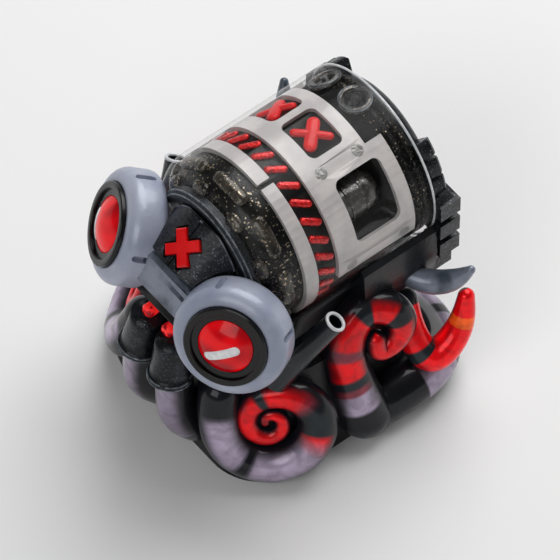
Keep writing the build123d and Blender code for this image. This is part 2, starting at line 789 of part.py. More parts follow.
os.makedirs("parts", exist_ok=True)
for piece in (
    tentacle_skirt,
    switch_stem,
    drum_core,
    rear_cap,
    front_ring,
    window_cage,
    cage_rivets,
    channel_dashes,
    window_crosses,
    *canisters,
    *ports,
    drum_shell,
    collar,
    *goggle_parts,
    head_core,
    forehead_plate,
    plus_mark,
    nose_bridge,
    mouth_lights,
    *cuffs,
    *pipes,
    *straps,
    *fins,
    mantle,
):
    export_step(piece.part, f"parts/{piece.part.label}.step")
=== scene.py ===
"""Finishes and finer shapes of the artisan keycap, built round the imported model.

Lengths in the dataclasses are in millimetres and become metres where a mesh is made. +Z is up
and the face looks toward -Y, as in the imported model.
"""

from __future__ import annotations

import json
import logging
import math
from collections.abc import Callable, Sequence
from dataclasses import dataclass
from enum import Enum

import bmesh
import bpy
import numpy as np
from mathutils import Matrix, Vector

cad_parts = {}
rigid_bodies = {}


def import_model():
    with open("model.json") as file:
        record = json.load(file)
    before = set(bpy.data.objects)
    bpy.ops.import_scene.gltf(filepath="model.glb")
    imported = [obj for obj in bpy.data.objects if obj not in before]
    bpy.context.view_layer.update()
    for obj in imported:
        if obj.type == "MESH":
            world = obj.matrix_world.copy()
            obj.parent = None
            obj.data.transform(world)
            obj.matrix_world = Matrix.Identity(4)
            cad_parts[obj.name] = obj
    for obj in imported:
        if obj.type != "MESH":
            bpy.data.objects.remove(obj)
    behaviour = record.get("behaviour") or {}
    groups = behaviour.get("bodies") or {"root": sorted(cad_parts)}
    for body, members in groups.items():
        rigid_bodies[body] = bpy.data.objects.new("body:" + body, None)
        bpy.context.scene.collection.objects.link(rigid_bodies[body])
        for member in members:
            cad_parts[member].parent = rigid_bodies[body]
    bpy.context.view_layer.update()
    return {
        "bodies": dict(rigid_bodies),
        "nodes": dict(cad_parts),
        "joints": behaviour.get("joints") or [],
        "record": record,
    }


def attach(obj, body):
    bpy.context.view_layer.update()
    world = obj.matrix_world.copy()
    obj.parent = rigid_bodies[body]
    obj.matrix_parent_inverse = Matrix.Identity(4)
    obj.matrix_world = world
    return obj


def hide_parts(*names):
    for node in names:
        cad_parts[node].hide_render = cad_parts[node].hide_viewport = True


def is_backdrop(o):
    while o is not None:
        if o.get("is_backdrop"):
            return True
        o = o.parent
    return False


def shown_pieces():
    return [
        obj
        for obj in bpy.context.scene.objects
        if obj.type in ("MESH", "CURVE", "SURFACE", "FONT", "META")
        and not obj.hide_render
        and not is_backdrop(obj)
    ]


LOG = logging.getLogger("keycap")
# Metres in a millimetre.
MM = 0.001
# The record's only body, on which every piece rides.
BODY = "root"
# Least radius of a turned profile, in millimetres, at which its points still stay apart.
LEAST_RADIUS = 1e-3
# Edges sharper than this many degrees stay sharp.
CREASE = 34.0

Colour = tuple[float, float, float]
Point = tuple[float, float, float]
# X and Y of an outline, or radius and height of a turned profile.
Flat = tuple[float, float]
# X, Y, Z, radius and place along the painted bands.
Station = tuple[float, float, float, float, float]
# Corner numbers of one face.
Face = tuple[int, ...]
# Corners in millimetres, and faces.
Shape = tuple[np.ndarray, list[Face]]
# Place and colour of each stop of a ramp.
Stops = tuple[tuple[float, Colour], ...]

# Colours of the arms' painted panels, painted shade and painted highlight among them.
LILAC: Colour = (0.42, 0.35, 0.47)
TEAL: Colour = (0.012, 0.018, 0.022)
RED: Colour = (0.88, 0.002, 0.006)
# Painted highlight: the orange streak on the red rear loop.
ORANGE_HIGHLIGHT: Colour = (0.95, 0.12, 0.01)
MAUVE: Colour = (0.24, 0.035, 0.055)
# Dark bands of the arms; at an arm's end by the floor the same colour is painted shade.
DARK_BAND_AND_SHADE: Colour = (0.007, 0.008, 0.011)
EMBER: Colour = (0.30, 0.0, 0.004)


class Side(Enum):
    """The two mirrored sides of the cap."""

    RIGHT = 1
    LEFT = -1

    @property
    def word(self) -> str:
        """The word that node names end in."""
        return self.name.lower()


@dataclass(frozen=True)
class Channel:
    """One value that varies over a surface; its arithmetic adds Math nodes."""

    graph: Graph
    socket: bpy.types.NodeSocket

    def _math(self, operation: str, first: object, second: object = 0.0) -> Channel:
        """Adds one Math node.

        Args:
            operation: The node's operation.
            first: A channel or a number.
            second: A channel or a number.

        Returns:
            The node's result.
        """
        node = self.graph.node("ShaderNodeMath", {"operation": operation}, {0: first, 1: second})
        return Channel(self.graph, node.outputs[0])

    def __add__(self, other: object) -> Channel:
        """This plus the other."""
        return self._math("ADD", self, other)

    __radd__ = __add__

    def __sub__(self, other: object) -> Channel:
        """This less the other."""
        return self._math("SUBTRACT", self, other)

    def __rsub__(self, other: object) -> Channel:
        """The other less this."""
        return self._math("SUBTRACT", other, self)

    def __mul__(self, other: object) -> Channel:
        """This times the other."""
        return self._math("MULTIPLY", self, other)

    __rmul__ = __mul__

    def __abs__(self) -> Channel:
        """This without its sign."""
        return self._math("ABSOLUTE", self)

    def step(self, low: float, high: float) -> Channel:
        """Rises smoothly from 0 at low to 1 at high.

        Args:
            low: Where the rise starts.
            high: Where it ends.

        Returns:
            A mask from 0 to 1.
        """
        node = self.graph.node(
            "ShaderNodeMapRange",
            {"interpolation_type": "SMOOTHSTEP"},
            {"Value": self, "From Min": low, "From Max": high},
        )
        return Channel(self.graph, node.outputs[0])


class Graph:
    """A tree of nodes: every node comes from the node method."""

    def __init__(self, tree: bpy.types.NodeTree) -> None:
        """Takes over a tree.

        Args:
            tree: The tree of a material or the world.
        """
        self.tree = tree

    def node(
        self,
        kind: str,
        settings: dict[str, object] | None = None,
        sockets: dict[int | str, object] | None = None,
    ) -> bpy.types.Node:
        """Adds a node.

        Args:
            kind: The node's type.
            settings: Properties, or a ramp's stops, which are set first.
            sockets: Values, channels or output sockets by input.

        Returns:
            The new node.
        """
        node = self.tree.nodes.new(kind)
        for key, setting in (settings or {}).items():
            if key == "stops":
                self._set_stops(node, setting)
            else:
                setattr(node, key, setting)
        for key, given in (sockets or {}).items():
            self.feed(node.inputs[key], given)
        return node

    @staticmethod
    def _set_stops(node: bpy.types.Node, stops: Stops) -> None:
        """Sets a ramp's stops.

        Args:
            node: The ramp.
            stops: Place and colour of each stop, in order.
        """
        elements = node.color_ramp.elements
        while len(elements) < len(stops):
            elements.new(1.0)
        for element, (place, colour) in zip(elements, stops):
            element.position = place
            element.color = (*colour, 1.0)

    def feed(self, socket: bpy.types.NodeSocket, given: object) -> None:
        """Sets or links one input.

        Args:
            socket: The input.
            given: A channel, an output socket, a colour or a number.
        """
        if isinstance(given, Channel):
            given = given.socket
        if isinstance(given, bpy.types.NodeSocket):
            self.tree.links.new(given, socket)
        elif isinstance(given, tuple) and socket.type == "RGBA":
            socket.default_value = (*given, 1.0)
        else:
            socket.default_value = given

    def mix(self, share: object, first: object, second: object) -> bpy.types.NodeSocket:
        """Blends two colours.

        Args:
            share: 0 gives the first and 1 the second.
            first: A colour or an output socket.
            second: A colour or an output socket.

        Returns:
            The blended colour.
        """
        node = self.node("ShaderNodeMix", {"data_type": "RGBA"}, {0: share, 6: first, 7: second})
        return node.outputs[2]


class Painter(Graph):
    """Builds one material."""

    def __init__(self, name: str) -> None:
        """Starts a material with one Principled shader.

        Args:
            name: The material's name.
        """
        self.material = bpy.data.materials.new(name)
        self.material.use_nodes = True
        super().__init__(self.material.node_tree)
        self.shader = self.tree.nodes["Principled BSDF"]
        self.output = self.tree.nodes["Material Output"]
        self.place = self.node("ShaderNodeTexCoord").outputs["Object"]

    def noise(self, size: float, detail: float = 2.0, distortion: float = 0.0) -> Channel:
        """Soft noise in space.

        Args:
            size: Size of its lumps, in millimetres.
            detail: Octaves of finer noise.
            distortion: How far its lumps are pulled about.

        Returns:
            A value from 0 to 1.
        """
        node = self.node(
            "ShaderNodeTexNoise",
            None,
            {"Vector": self.place, "Scale": 1 / (size * MM), "Detail": detail, "Distortion": distortion},
        )
        return Channel(self, node.outputs[0])

    def cells(self, size: float) -> Channel:
        """Random level for each small cell, as metal flakes have.

        Args:
            size: Size of a cell, in millimetres.

        Returns:
            A value from 0 to 1.
        """
        node = self.node("ShaderNodeTexVoronoi", None, {"Vector": self.place, "Scale": 1 / (size * MM)})
        level = self.node("ShaderNodeSeparateColor", None, {0: node.outputs["Color"]})
        return Channel(self, level.outputs[0])

    def along(self, axis: int) -> Channel:
        """Place along one axis of the cap, in millimetres.

        Args:
            axis: 0, 1 or 2 for X, Y or Z.

        Returns:
            The coordinate.
        """
        node = self.node("ShaderNodeSeparateXYZ", None, {0: self.place})
        return Channel(self, node.outputs[axis]) * (1 / MM)

    def attribute(self, name: str) -> Channel:
        """A value that the mesh carries at its points.

        Args:
            name: The attribute's name.

        Returns:
            The value.
        """
        node = self.node("ShaderNodeAttribute", {"attribute_name": name})
        return Channel(self, node.outputs["Fac"])

    def relief(self, height: Channel, depth: float) -> None:
        """Feeds the shader's normal from a height.

        Args:
            height: The height, from 0 to 1.
            depth: Its depth in millimetres.
        """
        node = self.node("ShaderNodeBump", None, {"Distance": depth * MM, "Height": height})
        self.feed(self.shader.inputs["Normal"], node.outputs[0])

    def show(self, share: object, first: object, second: object) -> None:
        """Shows a blend of two shaders on the surface.

        Args:
            share: 0 gives the first and 1 the second.
            first: A shader's output socket.
            second: A shader's output socket.
        """
        both = self.node("ShaderNodeMixShader", None, {0: share, 1: first, 2: second})
        self.feed(self.output.inputs["Surface"], both.outputs[0])

    def set(self, **values: object) -> None:
        """Sets the shader's own sockets.

        Args:
            **values: Socket names in lower case with underscores.
        """
        for name, value in values.items():
            words = [word.upper() if word == "ior" else word.capitalize() for word in name.split("_")]
            self.feed(self.shader.inputs[" ".join(words)], value)


@dataclass(frozen=True)
class Paint:
    """Painted or moulded finish with soft clouds, flakes and fine relief.

    Sizes are in millimetres. flake_free is the stretch of the Y axis without flakes, and seam is
    the half width of a dark groove along the middle of the cap.
    """

    name: str
    colour: Colour
    cloud: Colour
    roughness: float = 0.4
    metallic: float = 0.0
    coat: float = 0.0
    cloud_size: float = 1.6
    cloud_edges: Flat = (0.35, 0.65)
    flake: Colour | None = None
    flake_share: float = 0.2
    flake_size: float = 0.07
    flake_edge: float = 0.02
    flake_metal: float = 0.9
    flake_free: Flat | None = None
    flake_free_soft: float = 0.05
    patch_edges: Flat = (0.42, 0.62)
    patch_least: float = 0.25
    relief: float = 0.02
    relief_size: float = 0.25
    seam: float = 0.0
    seam_dark: Colour = (0.004, 0.004, 0.005)
    shine: float = 0.5
    wear: float = 0.25
    wear_middle: float = 0.12

    def _flakes(self, painter: Painter) -> Channel:
        """Metal flakes, denser in patches.

        Args:
            painter: The material that they belong to.

        Returns:
            A mask from 0 to 1.
        """
        patches = painter.noise(self.cloud_size * 0.5, detail=3.0, distortion=0.6).step(*self.patch_edges)
        start, full = 1 - self.flake_share, 1 + self.flake_edge - self.flake_share
        flakes = painter.cells(self.flake_size).step(start, full)
        flakes = flakes * (self.patch_least + (1 - self.patch_least) * patches)
        if self.flake_free is None:
            return flakes
        soft = self.flake_free_soft
        front, rear = self.flake_free
        place = painter.along(1)
        inside = place.step(front - soft, front + soft) * (1 - place.step(rear - soft, rear + soft))
        return flakes * (1 - inside)

    def build(self) -> bpy.types.Material:
        """Makes the material."""
        painter = Painter(self.name)
        clouds = painter.noise(self.cloud_size, detail=4.0).step(*self.cloud_edges)
        colour = painter.mix(clouds, self.colour, self.cloud)
        metallic: object = self.metallic
        if self.flake is not None:
            flakes = self._flakes(painter)
            colour = painter.mix(flakes, colour, self.flake)
            metallic = flakes * (self.flake_metal - self.metallic) + self.metallic
        if self.seam:
            groove = 1 - abs(painter.along(0)).step(self.seam, 2 * self.seam)
            colour = painter.mix(groove, colour, self.seam_dark)
        wear = painter.noise(self.cloud_size * 0.7, detail=5.0)
        painter.set(
            base_color=colour,
            metallic=metallic,
            roughness=wear * self.wear + (self.roughness - self.wear_middle),
            specular_ior_level=self.shine,
            coat_weight=self.coat,
            coat_roughness=0.06,
        )
        painter.relief(painter.noise(self.relief_size, detail=4.0), self.relief)
        return painter.material


@dataclass(frozen=True)
class ArmPaint:
    """Painted panels along an arm's outer face, under a clear glossy coat. Round the panels the arm
    goes dark towards its sides and back: partly its dark paint, partly painted shade for the tube
    turning away from the light and for the thicker smoky resin at its edges and in crevices.

    The panels' half width and soft edge are shares of the way round from the front of the arm to
    its back.
    """

    name: str
    stops: Stops
    panel_half: float = 0.215
    panel_soft: float = 0.125
    panel_waver: float = 0.06
    panel_metal: float = 0.45
    flake_metal: float = 0.3
    smoke: float = 0.5
    # Strength of a painted glow, which stands in for light through the red resin.
    glow: float = 0.0
    # Dark paint of the arm, which also serves as painted shade round its sides and back.
    dark: Colour = (0.006, 0.006, 0.009)
    roughness: float = 0.26
    roughness_range: float = 0.12
    relief: float = 0.012

    def build(self) -> bpy.types.Material:
        """Makes the material."""
        painter = Painter(self.name)
        ramp = painter.node("ShaderNodeValToRGB", {"stops": self.stops}, {0: painter.attribute("along")})
        # Painted shade: away from the front the colour goes over to the dark, as on a tube turning from the
        # light.
        edge = painter.attribute("around") + (painter.noise(size=0.9) - 0.5) * self.panel_waver
        lit_panel = 1 - edge.step(self.panel_half - self.panel_soft, self.panel_half + self.panel_soft)
        smoke = painter.noise(size=1.1, detail=5.0, distortion=0.8).step(low=0.3, high=0.75)
        painted = painter.mix(smoke * self.smoke, ramp.outputs[0], self.dark)
        colour = painter.mix(lit_panel, self.dark, painted)
        flakes = painter.cells(size=0.05).step(low=0.7, high=0.95)
        painter.set(
            base_color=colour,
            metallic=(flakes * self.flake_metal + self.panel_metal) * lit_panel,
            roughness=painter.noise(size=0.8, detail=3.0) * self.roughness_range + self.roughness,
            specular_ior_level=0.15,
            coat_weight=0.4,
            coat_roughness=0.035,
        )
        # Painted light: the arm glows by itself in its painted colours.
        if self.glow:
            painter.set(emission_color=colour, emission_strength=self.glow)
        painter.relief(painter.noise(size=0.5, detail=3.0), self.relief)
        return painter.material


@dataclass(frozen=True)
class ClearResin:
    """Polished clear skin: what is behind shows, with reflections that grow towards its edges."""

    name: str
    ior: float = 1.4
    mirror: float = 0.35
    roughness: float = 0.22

    def build(self) -> bpy.types.Material:
        """Makes the material."""
        painter = Painter(self.name)
        edge = painter.node("ShaderNodeFresnel", None, {"IOR": self.ior})
        behind = painter.node("ShaderNodeNewGeometry").outputs["Backfacing"]
        share = Channel(painter, edge.outputs[0]) * (1 - Channel(painter, behind))
        clear = painter.node("ShaderNodeBsdfTransparent")
        painter.set(base_color=(self.mirror,) * 3, metallic=1.0, roughness=self.roughness)
        painter.show(share, clear.outputs[0], painter.shader.outputs[0])
        return painter.material


@dataclass(frozen=True)
class RedResin:
    """Deep red resin dome with brighter cloudy patches and a hard polish; it glows by itself, painted light,
    though it is no lamp.
    """

    name: str
    bright: Colour = (0.74, 0.002, 0.006)
    deep: Colour = (0.22, 0.0, 0.003)
    patch: float = 2.4
    # Strength of the painted glow.
    glow: float = 0.3

    def build(self) -> bpy.types.Material:
        """Makes the material."""
        painter = Painter(self.name)
        patches = painter.noise(self.patch, detail=1.0).step(low=0.36, high=0.56)
        colour = painter.mix(patches, self.deep, self.bright)
        painter.set(
            base_color=colour,
            roughness=0.2,
            specular_ior_level=0.1,
            coat_weight=0.3,
            coat_roughness=0.02,
            # Painted light: the resin shines in its own colour.
            emission_color=colour,
            emission_strength=self.glow,
        )
        return painter.material


def bands(*spans: tuple[float, Colour]) -> Stops:
    """Ramp stops for bands with crisp edges.

    Args:
        *spans: End of each band, from 0 to 1, and its colour, in order.

    Returns:
        The stops.
    """
    soft = 0.006
    stops: list[tuple[float, Colour]] = [(0.0, spans[0][1])]
    for (end, colour), (_, after) in zip(spans, spans[1:]):
        stops += [(end - soft, colour), (end + soft, after)]
    return tuple(stops)


class Finishes:
    """Every finish of the cap, each made once."""

    def __init__(self) -> None:
        """Builds the materials."""
        finishes = (*self._paints(), *self._arm_paints(), *self._resins())
        self.by_name = {finish.name: finish.build() for finish in finishes}

    def __getitem__(self, name: str) -> bpy.types.Material:
        """The finish of that name."""
        return self.by_name[name]

    @staticmethod
    def _paints() -> tuple[Paint, ...]:
        """Finishes of the moulded, painted and metal parts."""
        return (
            Paint("white_paint", (0.60, 0.565, 0.55), (0.48, 0.455, 0.45), 0.36, coat=0.3, relief=0.01),
            Paint("black_resin", (0.004, 0.004, 0.005), (0.008, 0.009, 0.011), 0.34, coat=0.1, shine=0.2),
            Paint("stem_black", (0.020, 0.020, 0.022), (0.030, 0.030, 0.033), 0.45),
            Paint(
                "lug_metal", (0.010, 0.009, 0.008), (0.060, 0.052, 0.040), 0.26, 0.5, 0.3,
                cloud_size=0.8, relief=0.03,
                flake=(0.60, 0.48, 0.32), flake_share=0.10, flake_size=0.08,
            ),
            Paint(
                "drum_paint", (0.002, 0.002, 0.003), (0.006, 0.006, 0.005), 0.32, 0.0, 0.1,
                relief=0.03, shine=0.15,
                flake=(0.50, 0.42, 0.30), flake_share=0.06, flake_size=0.08, flake_free=(-1.73, 5.95),
            ),
            Paint(
                "strap_paint", (0.004, 0.005, 0.006), (0.014, 0.015, 0.019), 0.32, 0.2, 0.1,
                cloud_size=0.8, relief=0.04, shine=0.25,
                flake=(0.16, 0.17, 0.20), flake_share=0.06, flake_size=0.06,
            ),
            Paint(
                "gunmetal", (0.004, 0.005, 0.006), (0.015, 0.017, 0.022), 0.32, 0.35, 0.1,
                cloud_size=1.1, relief=0.04, shine=0.3, seam=0.035,
                flake=(0.10, 0.11, 0.14), flake_share=0.12, flake_size=0.06,
            ),
            Paint(
                "dark_metal", (0.004, 0.005, 0.006), (0.014, 0.016, 0.021), 0.34, 0.35, 0.1,
                cloud_size=1.1, relief=0.04, shine=0.3,
                flake=(0.08, 0.09, 0.11), flake_share=0.10, flake_size=0.06,
            ),
            # Bright edge beads: drybrushed wear that is also painted highlight.
            Paint("worn_edge", (0.06, 0.075, 0.09), (0.20, 0.225, 0.25), 0.35, 0.4, cloud_size=0.4),
            # Pale rims: on the clear shell's edge this is painted highlight; the pipes' mouths get it too.
            Paint("pale_rim", (0.72, 0.73, 0.74), (0.55, 0.57, 0.60), 0.30, 0.1, cloud_size=0.5),
            Paint("rivet_metal", (0.22, 0.21, 0.20), (0.38, 0.37, 0.36), 0.34, 0.5, relief=0.08),
            Paint(
                "port_metal", (0.030, 0.028, 0.025), (0.13, 0.12, 0.105), 0.28, 0.6, 0.2,
                cloud_size=0.5, relief=0.03,
                flake=(0.40, 0.36, 0.29), flake_share=0.10, flake_size=0.07,
            ),
            Paint(
                "canister_metal", (0.030, 0.029, 0.028), (0.11, 0.105, 0.10), 0.28, 0.6, 0.3,
                cloud_size=0.7, relief=0.02,
                flake=(0.34, 0.31, 0.27), flake_share=0.10, flake_size=0.07,
            ),
            Paint("lilac_satin", (0.27, 0.30, 0.40), (0.38, 0.405, 0.50), 0.38, 0.1, 0.3, cloud_size=3.0),
            Paint("blue_steel", (0.065, 0.082, 0.110), (0.20, 0.225, 0.285), 0.36, 0.3, 0.3, cloud_size=1.4),
            Paint(
                "bezel_black", (0.002, 0.002, 0.002), (0.004, 0.004, 0.005), 0.24,
                coat=0.15, relief=0.008, shine=0.25,
            ),
            Paint(
                "pipe_black", (0.005, 0.007, 0.009), (0.012, 0.016, 0.020), 0.28,
                coat=0.2, relief=0.01, shine=0.3,
            ),
            # White of the lens glints, a painted highlight.
            Paint("glint_white", (0.86, 0.86, 0.87), (0.70, 0.71, 0.74), 0.35, coat=0.6, cloud_size=0.3),
            Paint(
                "red_foil", (0.50, 0.002, 0.004), (0.80, 0.008, 0.008), 0.26, 0.6, 0.5,
                cloud_size=0.3, relief=0.08, relief_size=0.14,
            ),
            Paint(
                "red_paint", (0.66, 0.003, 0.005), (0.76, 0.012, 0.013), 0.36,
                coat=0.2, relief=0.02, shine=0.2,
            ),
        )

    @staticmethod
    def _arm_paints() -> tuple[ArmPaint, ...]:
        """Finishes of the arms."""
        return (
            ArmPaint(
                "coil_paint",
                (
                    (0.0, DARK_BAND_AND_SHADE), (0.190, DARK_BAND_AND_SHADE), (0.198, LILAC), (0.262, LILAC), (0.268, DARK_BAND_AND_SHADE),
                    (0.280, DARK_BAND_AND_SHADE), (0.286, LILAC), (0.365, LILAC), (0.392, RED), (0.398, TEAL),
                    (0.436, TEAL), (0.445, MAUVE), (0.465, RED), (0.515, RED), (0.522, TEAL),
                    (0.538, TEAL), (0.545, RED), (0.90, RED), (0.99, EMBER),
                ),
                glow=0.12,
            ),
            ArmPaint(
                "curl_paint",
                bands(
                    (0.07, DARK_BAND_AND_SHADE), (0.15, LILAC), (0.18, MAUVE), (0.22, TEAL), (0.30, RED), (0.34, MAUVE),
                    (0.45, RED), (0.51, TEAL), (0.60, RED), (0.66, DARK_BAND_AND_SHADE), (1.0, RED),
                ),
                glow=0.12,
            ),
            ArmPaint(
                "rear_paint",
                bands(
                    (0.05, DARK_BAND_AND_SHADE), (0.34, LILAC), (0.40, DARK_BAND_AND_SHADE), (0.52, LILAC), (0.60, DARK_BAND_AND_SHADE),
                    (0.80, LILAC), (1.0, DARK_BAND_AND_SHADE),
                ),
            ),
            ArmPaint(
                "loop_paint",
                # The orange band is painted highlight on the red resin.
                bands((0.03, DARK_BAND_AND_SHADE), (0.30, RED), (0.37, TEAL), (0.80, RED), (0.88, ORANGE_HIGHLIGHT), (1.0, RED)),
                panel_half=0.62, panel_soft=0.25, glow=0.25,
            ),
            # The dark band at the foot of each front arm is painted shade where it tucks under towards the
            # floor.
            ArmPaint("front_paint", bands((0.06, DARK_BAND_AND_SHADE), (0.86, LILAC), (1.0, DARK_BAND_AND_SHADE))),
        )

    @staticmethod
    def _resins() -> tuple[ClearResin | RedResin, ...]:
        """Finishes of the clear shell, the lenses and the small lights."""
        return (
            ClearResin("clear_resin"),
            RedResin("lens_red"),
            # The small red lights glow by themselves: painted light, as they hold no lamp.
            RedResin("light_red", bright=(0.85, 0.02, 0.02), patch=0.4, glow=0.5),
        )


def linked(name: str, data: bpy.types.ID) -> bpy.types.Object:
    """Makes an object of the scene.

    Args:
        name: Its name.
        data: The mesh, lamp or camera that it holds.

    Returns:
        The object.
    """
    made = bpy.data.objects.new(name, data)
    bpy.context.scene.collection.objects.link(made)
    return made


def new_piece(
    name: str,
    material: bpy.types.Material,
    slot: str,
    points: np.ndarray | Sequence[Point],
    faces: Sequence[Face],
) -> bpy.types.Object:
    """Makes a smooth mesh that rides on the cap.

    Args:
        name: The piece's name.
        material: Its finish.
        slot: The record's material slot; not used.
        points: Corners in millimetres.
        faces: Corner numbers of each face.

    Returns:
        The new object.
    """
    mesh = bpy.data.meshes.new(name)
    mesh.from_pydata((np.asarray(points, float) * MM).tolist(), [], faces)
    mesh.validate()
    mesh.materials.append(material)
    tidy_normals(mesh)
    piece = linked(name, mesh)
    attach(piece, BODY)
    return piece


def tidy_normals(mesh: bpy.types.Mesh) -> None:
    """Merges corners that coincide, turns faces outward and shades them smooth apart from creases.

    Args:
        mesh: The mesh, changed in place.
    """
    work = bmesh.new()
    work.from_mesh(mesh)
    bmesh.ops.remove_doubles(work, verts=work.verts, dist=1e-7)
    bmesh.ops.recalc_face_normals(work, faces=work.faces)
    work.to_mesh(mesh)
    work.free()
    mesh.shade_smooth()
    mesh.set_sharp_from_angle(angle=math.radians(CREASE))


def grid_faces(rows: int, columns: int, base: int = 0, loop: bool = False) -> list[Face]:
    """Quads between closed rings of points.

    Args:
        rows: Number of rings.
        columns: Points in each ring.
        base: Number of the first point.
        loop: Whether the last ring joins the first.

    Returns:
        The quads.
    """
    faces = []
    for row in range(rows if loop else rows - 1):
        start = base + row * columns
        above = base + (row + 1) % rows * columns
        for column in range(columns):
            after = (column + 1) % columns
            faces.append((start + column, start + after, above + after, above + column))
    return faces


def closed_faces(rows: int, columns: int, base: int = 0) -> list[Face]:
    """Quads between closed rings of points, with a face over the first ring and the last.

    Args:
        rows: Number of rings.
        columns: Points in each ring.
        base: Number of the first point.

    Returns:
        The faces.
    """
    last = base + (rows - 1) * columns
    first_end = tuple(range(base, base + columns))[::-1]
    return [*grid_faces(rows, columns, base), first_end, tuple(range(last, last + columns))]


def spline(points: Sequence[Sequence[float]], count: int) -> np.ndarray:
    """Smooth curve through points of any number of coordinates.

    Args:
        points: Rows of x, y, z and whatever else changes along the curve.
        count: Number of samples.

    Returns:
        Samples, one row each.
    """
    given = np.array(points, float)
    steps = np.linalg.norm(np.diff(given[:, :3], axis=0), axis=1)
    knots = np.concatenate([[0.0], np.cumsum(steps)])
    size = len(given)
    system, right = np.eye(size), np.zeros_like(given)
    for index in range(1, size - 1):
        before, after = steps[index - 1], steps[index]
        system[index, index - 1 : index + 2] = (before, 2 * (before + after), after)
        right[index] = 6 * (
            (given[index + 1] - given[index]) / after - (given[index] - given[index - 1]) / before
        )
    bend = np.linalg.solve(system, right)
    places = np.linspace(0.0, knots[-1], count)
    spans = np.clip(np.searchsorted(knots, places, side="right") - 1, 0, size - 2)
    width = steps[spans][:, None]
    start = (places - knots[spans])[:, None]
    left = width - start
    return (
        bend[spans] * left**3 / (6 * width)
        + bend[spans + 1] * start**3 / (6 * width)
        + (given[spans] / width - bend[spans] * width / 6) * left
        + (given[spans + 1] / width - bend[spans + 1] * width / 6) * start
    )


def unit(vector: np.ndarray) -> np.ndarray:
    """The vector at length 1."""
    return vector / np.linalg.norm(vector)


@dataclass(frozen=True)
class ArmShape:
    """One arm: a round tapering tube along a smooth path, with rounded ends.

    """

    name: str
    finish: str
    front: Point
    points: tuple[Station, ...]
    rings: int = 150
    girth: int = 40
    cap_rings: int = 7
    tip_share: float = 0.02

    def build(self, side: Side, finishes: Finishes) -> bpy.types.Object:
        """Makes the arm on one side.

        Args:
            side: Which side; the points are those of the right one.
            finishes: The cap's finishes.

        Returns:
            The arm.
        """
        flip = np.array([side.value, 1, 1], float)
        line = spline(self.points, self.rings)
        centres, radii, along = line[:, :3] * flip, line[:, 3], line[:, 4]
        tangents = np.gradient(centres, axis=0)
        tangents /= np.linalg.norm(tangents, axis=1)[:, None]
        front = np.array(self.front) * flip
        ends = self.cap_rings
        stations = np.clip(np.arange(-ends, self.rings + ends), 0, self.rings - 1)
        bulges = np.concatenate([
            np.linspace(-90, 0, ends, endpoint=False),
            np.zeros(self.rings),
            np.linspace(0, 90, ends + 1)[1:],
        ])
        rings = [
            self._ring(centres[at], tangents[at], radii[at], front, bulge)
            for at, bulge in zip(stations, bulges)
        ]
        piece = self._mesh(f"{self.name}_{side.word}", rings, along[stations])
        piece.data.materials.append(finishes[self.finish])
        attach(piece, BODY)
        return piece

    def _turns(self) -> np.ndarray:
        """Angles round one ring, from the front."""
        return np.linspace(0, 2 * math.pi, self.girth, endpoint=False)

    def _ring(
        self, centre: np.ndarray, tangent: np.ndarray, radius: float, front: np.ndarray, bulge: float
    ) -> np.ndarray:
        """One ring of points, pulled in and along the arm on a rounded end.

        Args:
            centre: Middle of the tube there.
            tangent: The tube's direction.
            radius: The tube's radius.
            front: Direction of the painted face; the paint darkens away from it as painted shade.
            bulge: Place on a rounded end, from 0 at its rim to 90 degrees at the last tip or -90
                at the first.

        Returns:
            The ring's points.
        """
        first = unit(front - tangent * float(front @ tangent))
        second = np.cross(tangent, first)
        turns = self._turns()[:, None]
        reach = radius * max(math.cos(math.radians(bulge)), self.tip_share)
        middle = centre + tangent * radius * math.sin(math.radians(bulge))
        return middle + reach * (np.cos(turns) * first + np.sin(turns) * second)

    def _mesh(self, name: str, rings: Sequence[np.ndarray], along: np.ndarray) -> bpy.types.Object:
        """Makes the arm's mesh, which carries the places that its paint goes by.

        Args:
            name: The piece's name.
            rings: Points of each ring, in millimetres.
            along: Place of each ring along the bands.

        Returns:
            The new object.
        """
        turns = np.tile(self._turns() / math.pi, len(rings))
        paint_places = {
            "along": np.repeat(along, self.girth),
            "around": np.minimum(turns, 2 - turns),
        }
        mesh = bpy.data.meshes.new(name)
        faces = closed_faces(len(rings), self.girth)
        mesh.from_pydata((np.concatenate(rings) * MM).tolist(), [], faces)
        for label, values in paint_places.items():
            layer = mesh.attributes.new(label, "FLOAT", "POINT")
            layer.data.foreach_set("value", values.astype(np.float32))
        mesh.shade_smooth()
        return linked(name, mesh)


def cut(piece: bpy.types.Object, block: bpy.types.Object) -> None:
    """Cuts one mesh out of another and removes it.

    Args:
        piece: The mesh to cut, changed in place.
        block: What is taken away.
    """
    step = piece.modifiers.new("cut", "BOOLEAN")
    step.object, step.operation, step.solver = block, "DIFFERENCE", "EXACT"
    bpy.context.view_layer.update()
    result = bpy.data.meshes.new_from_object(piece.evaluated_get(bpy.context.evaluated_depsgraph_get()))
    piece.modifiers.clear()
    piece.data = result
    result.shade_smooth()
    result.set_sharp_from_angle(angle=math.radians(CREASE))
    bpy.data.objects.remove(block)


def turned_points(profile: Sequence[Flat], frame: Matrix, segments: int) -> np.ndarray:
    """Points of a profile turned about a frame's Z axis.

    Args:
        profile: Radius and height of each point in order.
        frame: Where the axis stands, in millimetres.
        segments: Points round the girth.

    Returns:
        The points, ring by ring.
    """
    points = []
    for radius, height in profile:
        reach = max(radius, LEAST_RADIUS)
        for index in range(segments):
            turn = 2 * math.pi * index / segments
            points.append(tuple(frame @ Vector((reach * math.cos(turn), reach * math.sin(turn), height))))
    return np.array(points)


